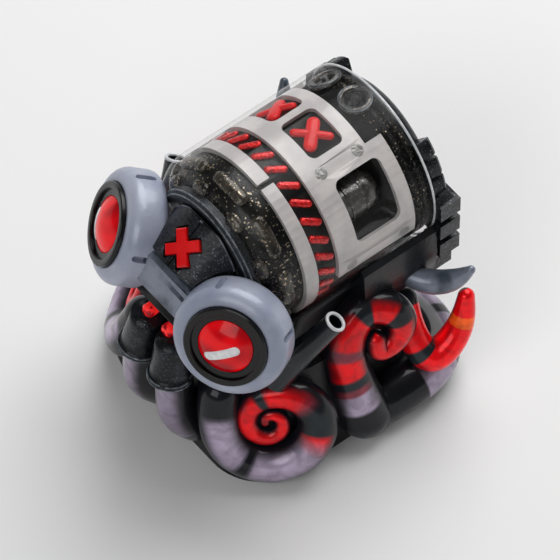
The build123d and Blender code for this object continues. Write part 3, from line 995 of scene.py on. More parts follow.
def lathe(profile: Sequence[Flat], frame: Matrix, segments: int) -> Shape:
    """Turns a profile about a frame's Z axis.

    Args:
        profile: Radius and height of each point in order; ends with no radius close the shape.
        frame: Where the axis stands, in millimetres.
        segments: Points round the girth.

    Returns:
        Corners in millimetres, and faces.
    """
    return turned_points(profile, frame, segments), closed_faces(len(profile), segments)


def round_corner(centre: Flat, radius: float, start: float, end: float, steps: int) -> list[Flat]:
    """Points on an arc of a profile.

    Args:
        centre: The arc's middle.
        radius: Its radius.
        start: First angle in degrees.
        end: Last angle in degrees.
        steps: Number of spans.

    Returns:
        The points.
    """
    angles = [math.radians(start + (end - start) * step / steps) for step in range(steps + 1)]
    return [(centre[0] + radius * math.cos(a), centre[1] + radius * math.sin(a)) for a in angles]


def finished(
    node: str, material: bpy.types.Material, nodes: dict[str, bpy.types.Object]
) -> bpy.types.Object:
    """Stands a smooth-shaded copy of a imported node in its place.

    Args:
        node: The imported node.
        material: Its finish.
        nodes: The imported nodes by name.

    Returns:
        The copy.
    """
    mesh = nodes[node].data.copy()
    mesh.name = f"{node}_finished"
    mesh.materials.clear()
    mesh.materials.append(material)
    tidy_normals(mesh)
    piece = linked(f"{node}_finished", mesh)
    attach(piece, BODY)
    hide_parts(node)
    return piece


def edge_lines(
    source: bpy.types.Object,
    name: str,
    material: bpy.types.Material,
    slot: str,
    width: float,
    keep: Callable[[Vector, Vector], bool],
    crease: float = 38.0,
) -> bpy.types.Object:
    """Rounds a piece's chosen edges with a thin bead in a brighter finish: drybrushed wear that is also
    painted highlight where the edges catch the light.

    Args:
        source: The piece with the edges.
        name: The new piece's name.
        material: The bead's finish.
        slot: The record's material slot.
        width: The bead's thickness in millimetres.
        keep: Chooses edges by their middle, in millimetres, and their outward direction.
        crease: Edges sharper than this many degrees are beaded.

    Returns:
        The bead.
    """
    sides, overlap, sunk = 6, 0.2, 0.3
    work = bmesh.new()
    work.from_mesh(source.data)
    bmesh.ops.remove_doubles(work, verts=work.verts, dist=1e-6)
    points, faces = [], []
    for edge in work.edges:
        if len(edge.link_faces) != 2 or edge.calc_face_angle_signed() < math.radians(crease):
            continue
        first, second = (corner.co / MM for corner in edge.verts)
        outward = (edge.link_faces[0].normal + edge.link_faces[1].normal).normalized()
        if not keep((first + second) / 2, outward):
            continue
        run = (second - first).normalized()
        across = run.orthogonal().normalized()
        up = run.cross(across)
        faces += closed_faces(2, sides, len(points))
        for spot in (first - run * width * overlap, second + run * width * overlap):
            for index in range(sides):
                turn = 2 * math.pi * index / sides
                offset = (across * math.cos(turn) + up * math.sin(turn)) * (width / 2)
                points.append(tuple(spot - outward * width * sunk + offset))
    work.free()
    return new_piece(name, material, slot, points, faces)


def pillow(length: float, width: float, height: float, spans: int = 10) -> Shape:
    """Rounded capsule that lies flat: X along it, Y across it and Z out of the surface.

    Args:
        length: Overall length.
        width: Width across.
        height: Height of its crown.
        spans: Rings from the rim to the crown.

    Returns:
        Corners and faces.
    """
    half = width / 2
    straight = length / 2 - half
    arc_steps, line_steps, fullness = 12, 8, 0.8
    outline: list[Flat] = []
    for end in (1, -1):
        first = -90 if end > 0 else 90
        outline += [(end * straight, first + 180 * step / arc_steps) for step in range(arc_steps + 1)]
        shares = [step / line_steps for step in range(1, line_steps)]
        outline += [(end * straight * (1 - 2 * share), first + 180) for share in shares]
    points: list[Point] = []
    for ring in range(spans + 1):
        rise = math.radians(90 * ring / spans)
        reach = half * math.cos(rise)
        for middle, turn in outline:
            x = middle + reach * math.cos(math.radians(turn))
            y = reach * math.sin(math.radians(turn))
            points.append((x, y, height * math.sin(rise) ** fullness))
    under = tuple(range(len(outline)))[::-1]
    return np.array(points), [*grid_faces(spans + 1, len(outline)), under]


def prism(outline: Sequence[Flat], frame: Matrix, levels: Sequence[Flat]) -> Shape:
    """Stacks copies of an outline along a frame's Z axis, each at its own size.

    Args:
        outline: X and Y of the outline's corners.
        frame: Where it stands, in millimetres.
        levels: Scale and height of each copy, in order.

    Returns:
        Corners and faces.
    """
    points = [tuple(frame @ Vector((x * scale, y * scale, z))) for scale, z in levels for x, y in outline]
    return np.array(points), closed_faces(len(levels), len(outline))


def stacked(rings: Sequence[Sequence[Point]]) -> Shape:
    """Joins rings that have the same number of points into a closed shape.

    Args:
        rings: Points of each ring, in millimetres.

    Returns:
        Corners and faces.
    """
    points = np.array([point for ring in rings for point in ring])
    return points, closed_faces(len(rings), len(rings[0]))


def cutter(name: str, shape: Shape) -> bpy.types.Object:
    """Makes a closed mesh that cut takes away from a piece.

    Args:
        name: Its name.
        shape: Corners in millimetres, and faces.

    Returns:
        The mesh object.
    """
    mesh = bpy.data.meshes.new(name)
    mesh.from_pydata((shape[0] * MM).tolist(), [], shape[1])
    tidy_normals(mesh)
    return linked(name, mesh)


@dataclass(frozen=True)
class Casting:
    """The hollow skirt with its arms."""

    width: float = 14.8
    corner: float = 3.4
    height: float = 6.6
    top_width: float = 11.6
    top_corner: float = 4.8
    cavity_width: float = 13.6
    cavity_corner: float = 2.5
    cavity_depth: float = 4.6
    cavity_top_width: float = 11.0
    cavity_top_corner: float = 4.5
    coil_centre: Point = (5.66, -4.62, 3.97)
    coil_turn: float = 38.0
    coil_lean: float = 22.0
    coil_lead: float = 1.8
    coil_start: float = 150.0
    coil_end: float = 880.0
    coil_proud: float = 0.35
    coil_proud_from: float = 400.0
    coil_turns: tuple[Point, ...] = (
        (180, 2.85, 1.22), (225, 2.85, 1.22), (270, 2.85, 1.22), (315, 2.82, 1.2), (360, 2.7, 1.14),
        (405, 2.25, 1.02), (450, 1.75, 0.88), (495, 1.46, 0.76), (540, 1.28, 0.68), (585, 1.12, 0.61),
        (630, 0.99, 0.55), (675, 0.86, 0.5), (720, 0.74, 0.45), (765, 0.62, 0.41), (810, 0.5, 0.36),
        (850, 0.38, 0.32), (880, 0.28, 0.29),
    )
    front_path: tuple[Point, ...] = (
        (1.25, -8.1, 8.2), (1.45, -8.1, 5.5), (1.6, -7.75, 2.8), (1.6, -6.8, 1.3),
    )
    front_radii: Flat = (1.05, 1.25)
    curl_path: tuple[Station, ...] = (
        (7.3, 0.9, 1.65, 1.6, 0.0), (6.5, 0.5, 4.4, 1.38, 0.17), (5.6, 0.8, 7.2, 1.28, 0.36),
        (5.6, 2.5, 8.7, 1.15, 0.50), (6.6, 3.7, 8.1, 1.0, 0.63), (7.0, 3.4, 6.6, 0.85, 0.76),
        (6.9, 2.3, 6.2, 0.72, 0.88), (6.8, 2.1, 7.1, 0.6, 1.0),
    )
    rear_path: tuple[Point, ...] = (
        (1.7, 7.0, 1.9), (4.4, 7.4, 1.9), (6.5, 6.7, 1.9), (7.3, 4.6, 1.8), (7.2, 2.6, 1.65),
    )
    rear_radii: Flat = (1.45, 1.6)
    loop_path: tuple[Station, ...] = (
        (5.4, 5.4, 6.6, 0.7, 0.0), (6.5, 5.0, 5.0, 0.85, 0.22), (7.7, 5.5, 3.5, 0.95, 0.45),
        (7.9, 7.0, 4.4, 0.85, 0.70), (7.5, 8.1, 6.8, 0.5, 1.0),
    )

    def _ring(self, width: float, corner: float, level: float) -> list[Point]:
        """One rounded square of points.

        Args:
            width: Width across.
            corner: Corner radius.
            level: Height.

        Returns:
            The points.
        """
        steps = 14
        inset = width / 2 - corner
        ring = []
        for index, (x, y) in enumerate(((1, 1), (-1, 1), (-1, -1), (1, -1))):
            for dx, dy in round_corner((0, 0), corner, 90 * index, 90 * index + 90, steps):
                ring.append((x * inset + dx, y * inset + dy, level))
        return ring

    def _skirt(self, finishes: Finishes) -> None:
        """Makes the hollow block that the arms grow from.

        Args:
            finishes: The cap's finishes.
        """
        lip = 0.15
        lip_width = self.width - lip * (self.width - self.top_width) / self.height
        rings = (
            self._ring(self.cavity_top_width, self.cavity_top_corner, self.cavity_depth),
            self._ring(self.cavity_width, self.cavity_corner, 0.0),
            self._ring(self.width - lip, self.corner, 0.0),
            self._ring(lip_width, self.corner, lip),
            self._ring(self.top_width, self.top_corner, self.height),
        )
        skirt = new_piece("skirt_shell", finishes["black_resin"], "cast_resin", *stacked(rings))
        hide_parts("tentacle_skirt")

    def _cavity(self) -> bpy.types.Object:
        """Makes the block that clears the cavity, open below."""
        depth_below = 3.0
        rings = (
            self._ring(self.cavity_width, self.cavity_corner, -depth_below),
            self._ring(self.cavity_width, self.cavity_corner, 0.0),
            self._ring(self.cavity_top_width, self.cavity_top_corner, self.cavity_depth),
        )
        return cutter("cavity", stacked(rings))

    def _coil_front(self) -> np.ndarray:
        """Direction that the front coil faces."""
        turn, lean = math.radians(self.coil_turn), math.radians(self.coil_lean)
        return np.array([math.cos(turn) * math.cos(lean), -math.sin(turn) * math.cos(lean), math.sin(lean)])

    def _on_coil(self, angle: float, reach: float, proud: float) -> np.ndarray:
        """Point of the front coil.

        Args:
            angle: Angle round the coil in degrees.
            reach: Distance from its middle.
            proud: Distance out of its plane.

        Returns:
            The point.
        """
        turn, lean = math.radians(self.coil_turn), math.radians(self.coil_lean)
        level = np.array([math.sin(turn), math.cos(turn), 0])
        rise = np.array([-math.cos(turn) * math.sin(lean), math.sin(turn) * math.sin(lean), math.cos(lean)])
        flat = level * math.cos(math.radians(angle)) + rise * math.sin(math.radians(angle))
        return np.array(self.coil_centre) + flat * reach + self._coil_front() * proud

    def _coil(self) -> ArmShape:
        """Shape of the front corner arm, which coils up facing its corner."""
        quarter, half_turn = 90, 180
        lead = self._on_coil(quarter, self.coil_lead, 0) - np.array(self.coil_centre)
        _, first_reach, first_radius = self.coil_turns[0]
        foot = self._on_coil(half_turn, first_reach, 0) + lead
        rows = [(*foot, first_radius, self.coil_start / self.coil_end)]
        for angle, reach, radius in self.coil_turns:
            inner = max(angle - self.coil_proud_from, 0) / (self.coil_end - self.coil_proud_from)
            centre = self._on_coil(angle, reach, self.coil_proud * inner)
            rows.append((*centre, radius, angle / self.coil_end))
        return ArmShape("front_coil", "coil_paint", tuple(self._coil_front()), tuple(rows), rings=260)

    @staticmethod
    def _even(points: Sequence[Point], radii: Flat) -> tuple[Station, ...]:
        """Adds radius and place along the bands to an arm's points.

        Args:
            points: The path.
            radii: Radius at its first and last point.

        Returns:
            The points with their radius and place.
        """
        start, end = radii
        given = np.array(points, float)
        steps = np.concatenate([[0.0], np.cumsum(np.linalg.norm(np.diff(given, axis=0), axis=1))])
        shares = steps / steps[-1]
        return tuple((*point, start + (end - start) * share, share) for point, share in zip(points, shares))

    def _arms(self) -> tuple[ArmShape, ...]:
        """Shapes of all the arms of one side."""
        front = self._even(self.front_path, self.front_radii)
        rear = self._even(self.rear_path, self.rear_radii)
        return (
            self._coil(),
            ArmShape("front_arm", "front_paint", (0.25, -1.0, 0.1), front, rings=90),
            ArmShape("curl_arm", "curl_paint", (1.0, -0.45, 0.3), self.curl_path, rings=200),
            ArmShape("rear_arm", "rear_paint", (0.8, 0.45, 0.3), rear, rings=120),
            ArmShape("loop_arm", "loop_paint", (0.6, 0.2, 0.75), self.loop_path, rings=120),
        )

    def build(self, finishes: Finishes) -> None:
        """Makes the skirt and every arm.

        Args:
            finishes: The cap's finishes.
        """
        self._skirt(finishes)
        for shape in self._arms():
            for side in Side:
                cut(shape.build(side, finishes), self._cavity())


def gather(shapes: Sequence[Shape]) -> Shape:
    """Joins several shapes into one list of corners and faces.

    Args:
        shapes: Corners and faces of each.

    Returns:
        All corners, and faces numbered to suit.
    """
    faces: list[Face] = []
    base = 0
    for corners, own in shapes:
        faces += [tuple(base + corner for corner in face) for face in own]
        base += len(corners)
    return np.concatenate([corners for corners, _ in shapes]), faces


def axis_frame(origin: Sequence[float], direction: Sequence[float]) -> Matrix:
    """Frame at a point with its Z axis along a direction.

    Args:
        origin: The point, in millimetres.
        direction: Where Z points.

    Returns:
        The frame.
    """
    turned = Vector(direction).to_track_quat("Z", "Y").to_matrix().to_4x4()
    return Matrix.Translation(Vector(origin)) @ turned


def bead(radius: float, thickness: float, frame: Matrix, segments: int = 72) -> Shape:
    """Thin round ring about a frame's Z axis.

    Args:
        radius: Radius of its middle line.
        thickness: Its own thickness.
        frame: Where it lies, in millimetres.
        segments: Points round the girth.

    Returns:
        Corners and faces.
    """
    sides = 10
    profile = round_corner((radius, 0.0), thickness / 2, 0, 360, sides)[:-1]
    return turned_points(profile, frame, segments), grid_faces(sides, segments, loop=True)


@dataclass(frozen=True)
class Drum:
    """The drum: painted work and dark fittings under a clear shell."""

    axis_height: float = 13.5
    turn: float = 20.0
    radius: float = 5.05
    shoulder: float = 1.55
    shoulder_start: float = -2.4
    rear: float = 7.3
    shell_radius: float = 5.6
    channel_middle: float = -0.15
    dash_count: int = 27
    dash_length: float = 1.38
    dash_width: float = 0.46
    dash_slant: float = 32.0
    relief: float = 0.2
    cross_angle: float = 19.5
    cross_place: float = 2.905
    cross_lengths: Flat = (2.4, 2.5)
    cross_widths: Flat = (0.78, 0.5)
    cross_slants: Flat = (-45, 45)
    cross_crown: float = 0.1
    lug_count: int = 9
    lug_places: Flat = (-3.95, -2.85)
    lug_lengths: Flat = (1.5, 2.7)
    lug_width: float = 0.85
    lug_height: float = 0.34
    rim_spans: tuple[Flat, ...] = ((49.0, 38.0), (36.0, 25.0), (23.0, 12.0))
    rim_radii: Flat = (4.35, 5.52)
    rim_places: Flat = (0.02, 1.02)
    rim_bevel: float = 0.16
    rim_levels: tuple[Flat, ...] = ((0.0, 0.9), (0.12, 1.0), (0.5, 1.0), (0.88, 1.0), (1.0, 0.9))
    haunch_front: float = 2.0
    haunch_rear: float = 7.2
    haunch_proud: float = 0.03
    haunch_arc: Flat = (-12, -62)
    haunch_outline: tuple[Flat, ...] = ((2.6, 7.4), (5.0, 7.4), (5.75, 8.4), (5.95, 10.2), (5.8, 12.0))
    canister_angle: float = 73.0
    canister_front: float = 1.85
    canister_length: float = 3.05
    canister_radius: float = 1.25
    canister_dome: float = 0.66
    canister_rib: float = 0.06
    canister_rib_places: Flat = (0.30, 0.80)
    port_angle: float = 16.0
    port_place: float = 6.25
    port_radius: float = 0.95
    port_bore: float = 0.68
    port_ring: Flat = (0.38, 0.09)
    port_edge: Flat = (0.09, 0.2)
    shell_rim: Flat = (0.14, -0.1)

    def wrap(self, shape: Shape, angle: float, place: float, slant: float = 0.0) -> Shape:
        """Lays a flat shape on the drum, round its girth and over its shoulder.

        Args:
            shape: Corners with Y along the drum and Z out of it, and faces.
            angle: Angle round the drum from the middle of its painted work, in degrees.
            place: Place along the drum, measured over the shoulder.
            slant: Turn of the shape in its plane, in degrees.

        Returns:
            The shape in place.
        """
        corners, faces = shape
        lean = math.radians(slant)
        across = corners[:, 0] * math.cos(lean) - corners[:, 1] * math.sin(lean)
        along = place + corners[:, 0] * math.sin(lean) + corners[:, 1] * math.cos(lean)
        level = corners[:, 2]
        turn = math.radians(90 + self.turn + angle) - across / self.radius
        bend = np.clip((self.shoulder_start - along) / self.shoulder, 0, math.pi / 2)
        reach = self.radius - self.shoulder * (1 - np.cos(bend)) + level * np.cos(bend)
        depth = np.maximum(along, self.shoulder_start) - (self.shoulder + level) * np.sin(bend)
        placed = np.column_stack([reach * np.cos(turn), depth, self.axis_height + reach * np.sin(turn)])
        return placed, faces

    def _frame(self, angle: float, place: float, reach: float) -> Matrix:
        """Frame on the drum with Z outward.

        Args:
            angle: Angle round the drum, in degrees.
            place: Place along it.
            reach: Distance from its axis.

        Returns:
            The frame.
        """
        turn = math.radians(90 + self.turn + angle)
        outward = Vector((math.cos(turn), 0.0, math.sin(turn)))
        return axis_frame(Vector((0.0, place, self.axis_height)) + outward * reach, outward)

    def _dashes(self) -> Shape:
        """Red dashes all round the channel."""
        flat = pillow(self.dash_length, self.dash_width, self.relief)
        step = 360 / self.dash_count
        slant = 90 - self.dash_slant
        return gather(
            [self.wrap(flat, step * index, self.channel_middle, slant) for index in range(self.dash_count)]
        )

    def _crosses(self) -> Shape:
        """One thick and one thin stroke in each square window."""
        strokes = []
        for side in (-1, 1):
            for length, width, slant in zip(self.cross_lengths, self.cross_widths, self.cross_slants):
                flat = pillow(length, width, self.relief + self.cross_crown * width)
                strokes.append(self.wrap(flat, side * self.cross_angle, self.cross_place, slant))
        return gather(strokes)

    def _lugs(self) -> Shape:
        """Rounded lugs in two rows over the front shoulder."""
        shapes = []
        step = 360 / self.lug_count
        for row, (place, length) in enumerate(zip(self.lug_places, self.lug_lengths)):
            flat = pillow(length, self.lug_width, self.lug_height)
            for index in range(self.lug_count):
                shapes.append(self.wrap(flat, step * (index + row / 2), place))
        return gather(shapes)

    def _rim_block(self, side: Side, start: float, end: float) -> Shape:
        """One bevelled block on the drum's rear rim.

        Args:
            side: Which side of the cap.
            start: Its upper end, in degrees above level.
            end: Its lower end.

        Returns:
            Corners and faces.
        """
        low, high = self.rim_radii
        bevel = self.rim_bevel
        front, rear = (self.rear + place for place in self.rim_places)
        section = (
            (low, front), (high - bevel, front), (high, front + bevel), (high, rear - bevel),
            (high - bevel, rear), (low, rear - bevel),
        )
        middle = (low + high) / 2
        rings = []
        for share, shrink in self.rim_levels:
            turn = math.radians(start + (end - start) * share)
            ring = []
            for reach, place in section:
                out = middle + (reach - middle) * shrink
                x, z = out * math.cos(turn), out * math.sin(turn)
                ring.append((side.value * x, place, self.axis_height + z))
            rings.append(ring)
        return stacked(rings)

    def _canister(self, side: Side) -> Shape:
        """Domed canister that lies in the pocket under a side window.

        Args:
            side: Which side of the cap.

        Returns:
            Corners and faces.
        """
        radius, rib, steps = self.canister_radius, self.canister_rib, 10
        dome_start = self.canister_length * self.canister_dome
        turn = math.radians(90 + self.turn - side.value * self.canister_angle)
        reach = self.radius - radius - 2 * rib
        place = (reach * math.cos(turn), self.canister_front, self.axis_height + reach * math.sin(turn))
        profile = [(0.0, 0.0), (radius, 0.0)]
        for share in self.canister_rib_places:
            level = dome_start * share
            profile += [(radius, level), (radius + rib, level + rib), (radius + rib, level + 3 * rib)]
            profile.append((radius, level + 4 * rib))
        rise = self.canister_length - dome_start
        for step in range(steps + 1):
            bend = math.pi / 2 * step / steps
            profile.append((radius * math.cos(bend), dome_start + rise * math.sin(bend)))
        return lathe(profile, axis_frame(place, (0.0, 1.0, 0.0)), 64)

    def _haunch(self, side: Side) -> Shape:
        """Dark body that fills the corner under the drum's rear half.

        Args:
            side: Which side of the cap.

        Returns:
            Corners and faces.
        """
        reach = self.shell_radius + self.haunch_proud
        arc = [
            (reach * math.cos(math.radians(a)), self.axis_height + reach * math.sin(math.radians(a)))
            for a in np.linspace(*self.haunch_arc, 14)
        ]
        upright = Matrix(((side.value, 0, 0, 0), (0, 0, 1, 0), (0, 1, 0, 0), (0, 0, 0, 1)))
        levels = ((1.0, self.haunch_front), (1.0, self.haunch_rear))
        return prism((*self.haunch_outline, *arc), upright, levels)

    def _port_beads(self, radius: float, thickness: float, proud: float) -> Shape:
        """One bead round the mouth of each rear port.

        Args:
            radius: Radius of the bead's middle line.
            thickness: Its own thickness.
            proud: How far it stands out of the drum.

        Returns:
            Corners and faces.
        """
        frames = [
            self._frame(side * self.port_angle, self.port_place, self.radius + proud) for side in (-1, 1)
        ]
        return gather([bead(radius, thickness, frame) for frame in frames])

    def _trim(self, finishes: Finishes) -> None:
        """Makes the thin rims of the ports and the shell.

        Args:
            finishes: The cap's finishes.
        """
        rings = self._port_beads((self.port_radius + self.port_bore) / 2, *self.port_ring)
        new_piece("port_rings", finishes["port_metal"], "grey_metal", *rings)
        # The port edges carry the bright edge finish: wear and painted highlight.
        edges = self._port_beads(self.port_radius, *self.port_edge)
        new_piece("port_edges", finishes["worn_edge"], "grey_metal", *edges)
        # The shell's pale rim is painted highlight where light catches the clear resin's edge.
        thickness, proud = self.shell_rim
        rear = axis_frame((0.0, self.rear, self.axis_height), (0.0, 1.0, 0.0))
        rim = bead(self.shell_radius + proud, thickness, rear, 128)
        new_piece("shell_rim", finishes["pale_rim"], "clear_resin", *rim)

    def build(self, finishes: Finishes, nodes: dict[str, bpy.types.Object]) -> None:
        """Makes the drum's painted work and finishes what carries it.

        Args:
            finishes: The cap's finishes.
            nodes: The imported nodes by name.
        """
        plain = (
            ("drum_core", "drum_paint", "black_resin"),
            ("rear_cap", "dark_metal", "dark_metal"),
            ("front_ring", "white_paint", "white_paint"),
            ("window_cage", "white_paint", "white_paint"),
            ("cage_rivets", "rivet_metal", "grey_metal"),
            ("rear_port_right", "bezel_black", "grey_metal"),
            ("rear_port_left", "bezel_black", "grey_metal"),
            ("drum_shell", "clear_resin", "clear_resin"),
        )
        for node, finish, slot in plain:
            finished(node, finishes[finish], nodes)
        dashes = new_piece("dashes", finishes["red_foil"], "red_metallic", *self._dashes())
        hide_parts("channel_dashes")
        crosses = new_piece("crosses", finishes["red_paint"], "red_metallic", *self._crosses())
        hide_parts("window_crosses")
        new_piece("lugs", finishes["lug_metal"], "black_resin", *self._lugs())
        for side in Side:
            blocks = gather([self._rim_block(side, *span) for span in self.rim_spans])
            new_piece(f"rim_blocks_{side.word}", finishes["strap_paint"], "black_resin", *blocks)
            new_piece(f"haunch_{side.word}", finishes["black_resin"], "black_resin", *self._haunch(side))
            tank = self._canister(side)
            canister = new_piece(f"tank_{side.word}", finishes["canister_metal"], "dark_metal", *tank)
            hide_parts(f"canister_{side.word}")
        self._trim(finishes)


@dataclass(frozen=True)
class Glint:
    """White bar on one lens, a painted highlight: its middle, direction and size in the lens's plane."""

    centre: Flat
    way: Flat
    length: float
    width: float


GLINTS = {
    Side.RIGHT: Glint((0.07, 0.32), (-0.857, -0.514), 2.3, 0.56),
    Side.LEFT: Glint((0.55, 0.75), (-0.575, 0.818), 1.95, 0.42),
}


@dataclass(frozen=True)
class Goggle:
    """One goggle: a satin housing, a stepped black bezel and a red dome with a white bar of painted
    highlight.
    """

    centre: Point = (5.28, -7.39, 13.25)
    splay: float = 30.5
    tilt: float = 23.6
    radius: float = 3.36
    depth: float = 2.4
    front_round: float = 0.85
    rear_bevel: float = 0.6
    seat_radius: float = 2.45
    seat_depth: float = 0.6
    seat_soft: Flat = (0.02, 0.05)
    bezel_gap: float = 0.01
    bezel_soft: float = 0.09
    rise: float = 0.28
    lip: float = 2.02
    recess: float = 0.2
    lens_radius: float = 1.6
    lens_seat: float = 0.3
    lens_rise: float = 0.5
    glint_height: float = 0.07
    glint_border: float = 0.08
    glint_sunk: float = 0.01
    slot_start: float = 20.0
    slot_length: float = 1.25
    slot_width: float = 0.42
    slot_depth: float = 0.6
    slot_clear: float = 0.16
    slot_rear: float = 1.75

    def frame(self, side: Side) -> Matrix:
        """Frame of the front face, with Z out of it.

        Args:
            side: Which goggle.

        Returns:
            The frame, in millimetres.
        """
        level = math.cos(math.radians(self.tilt))
        splay = math.radians(self.splay)
        x, y, z = level * math.sin(splay), -level * math.cos(splay), math.sin(math.radians(self.tilt))
        outward = Vector((side.value * x, y, z))
        across = outward.cross(Vector((0.0, 0.0, 1.0))).normalized()
        turned = Matrix((across, outward.cross(across), outward)).transposed().to_4x4()
        place = (side.value * self.centre[0], self.centre[1], self.centre[2])
        return Matrix.Translation(Vector(place)) @ turned

    def _housing(self) -> list[Flat]:
        """Profile of the housing."""
        inner = self.radius - self.front_round
        behind = self.radius - self.rear_bevel
        soft, drop = self.seat_soft
        return [
            (0.0, -self.depth),
            (behind, -self.depth),
            *round_corner((behind, self.rear_bevel - self.depth), self.rear_bevel, -90, 0, 8),
            *round_corner((inner, -self.front_round), self.front_round, 0, 90, 12),
            (self.seat_radius + soft, -self.bezel_gap),
            (self.seat_radius, -drop),
            (self.seat_radius, -self.seat_depth),
            (0.0, -self.seat_depth),
        ]

    def _bezel(self) -> list[Flat]:
        """Profile of the bezel, with a rounded outer ring and a step inside."""
        soft = self.bezel_soft
        outer = self.seat_radius - self.bezel_gap
        floor = self.rise - self.recess
        return [
            (0.0, -self.seat_depth),
            (outer, -self.seat_depth),
            *round_corner((outer - soft, self.rise - soft), soft, 0, 90, 5),
            *round_corner((self.lip + soft, self.rise - soft), soft, 90, 180, 5),
            (self.lip, floor),
            *round_corner((self.lens_radius + soft, floor - soft), soft, 90, 180, 4),
            (self.lens_radius, floor - self.lens_seat),
            (0.0, floor - self.lens_seat),
        ]

    def _dome_radius(self) -> float:
        """Radius of the lens's ball."""
        return (self.lens_radius**2 + self.lens_rise**2) / (2 * self.lens_rise)

    def _lens(self) -> list[Flat]:
        """Profile of the lens."""
        base = self.rise - self.recess - self.lens_seat
        ball = self._dome_radius()
        top = base + self.lens_seat + self.lens_rise
        edge = math.degrees(math.asin(self.lens_radius / ball))
        arc = [
            (ball * math.sin(math.radians(a)), top - ball + ball * math.cos(math.radians(a)))
            for a in np.linspace(edge, 0, 16)
        ]
        return [(0.0, base), (self.lens_radius, base), *arc]

    def _glint(self, side: Side) -> Shape:
        """White bar of painted highlight that lies on the dome.

        Args:
            side: Which goggle.

        Returns:
            Corners and faces.
        """
        glint = GLINTS[side]
        corners, faces = pillow(glint.length, glint.width, self.glint_height)
        x = glint.centre[0] + corners[:, 0] * glint.way[0] - corners[:, 1] * glint.way[1]
        y = glint.centre[1] + corners[:, 0] * glint.way[1] + corners[:, 1] * glint.way[0]
        limit = self.lens_radius - self.glint_border
        pull = np.minimum(1.0, limit / np.maximum(np.hypot(x, y), 1e-6))
        x, y = x * pull, y * pull
        ball = self._dome_radius()
        top = self.rise - self.recess + self.lens_rise
        z = np.sqrt(ball**2 - x**2 - y**2) - ball + top + corners[:, 2] - self.glint_sunk
        frame = self.frame(side)
        return np.array([tuple(frame @ Vector(point)) for point in zip(x, y, z)]), faces

    def _slots(self, side: Side) -> bpy.types.Object:
        """Cutter for the four rounded slots round the rim.

        Args:
            side: Which goggle.

        Returns:
            The cutter.
        """
        shapes = []
        corners, faces = pillow(self.slot_length, self.slot_width, self.slot_depth, spans=6)
        level = corners[:, 0] + self.slot_length / 2 - self.slot_rear
        reach = self.radius + self.slot_clear - corners[:, 2]
        for quarter in range(4):
            turn = math.radians(self.slot_start + 90 * quarter)
            x = reach * math.cos(turn) - corners[:, 1] * math.sin(turn)
            y = reach * math.sin(turn) + corners[:, 1] * math.cos(turn)
            shapes.append((np.column_stack([x, y, level]), faces))
        points, all_faces = gather(shapes)
        frame = self.frame(side)
        placed = np.array([tuple(frame @ Vector(point)) for point in points])
        return cutter("slots", (placed, all_faces))

    def build(self, side: Side, finishes: Finishes) -> None:
        """Makes one goggle.

        Args:
            side: Which goggle.
            finishes: The cap's finishes.
        """
        frame = self.frame(side)
        turned = (
            ("goggle", self._housing(), "lilac_satin", "lilac_metal"),
            ("bezel", self._bezel(), "bezel_black", "black_gloss"),
            ("lens", self._lens(), "lens_red", "red_dome"),
        )
        for word, profile, finish, slot in turned:
            name = f"{word}_{side.word}"
            piece = new_piece(f"{name}_turned", finishes[finish], slot, *lathe(profile, frame, 120))
            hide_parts(name)
            if word == "goggle":
                cut(piece, self._slots(side))
        new_piece(f"glint_{side.word}", finishes["glint_white"], "red_dome", *self._glint(side))


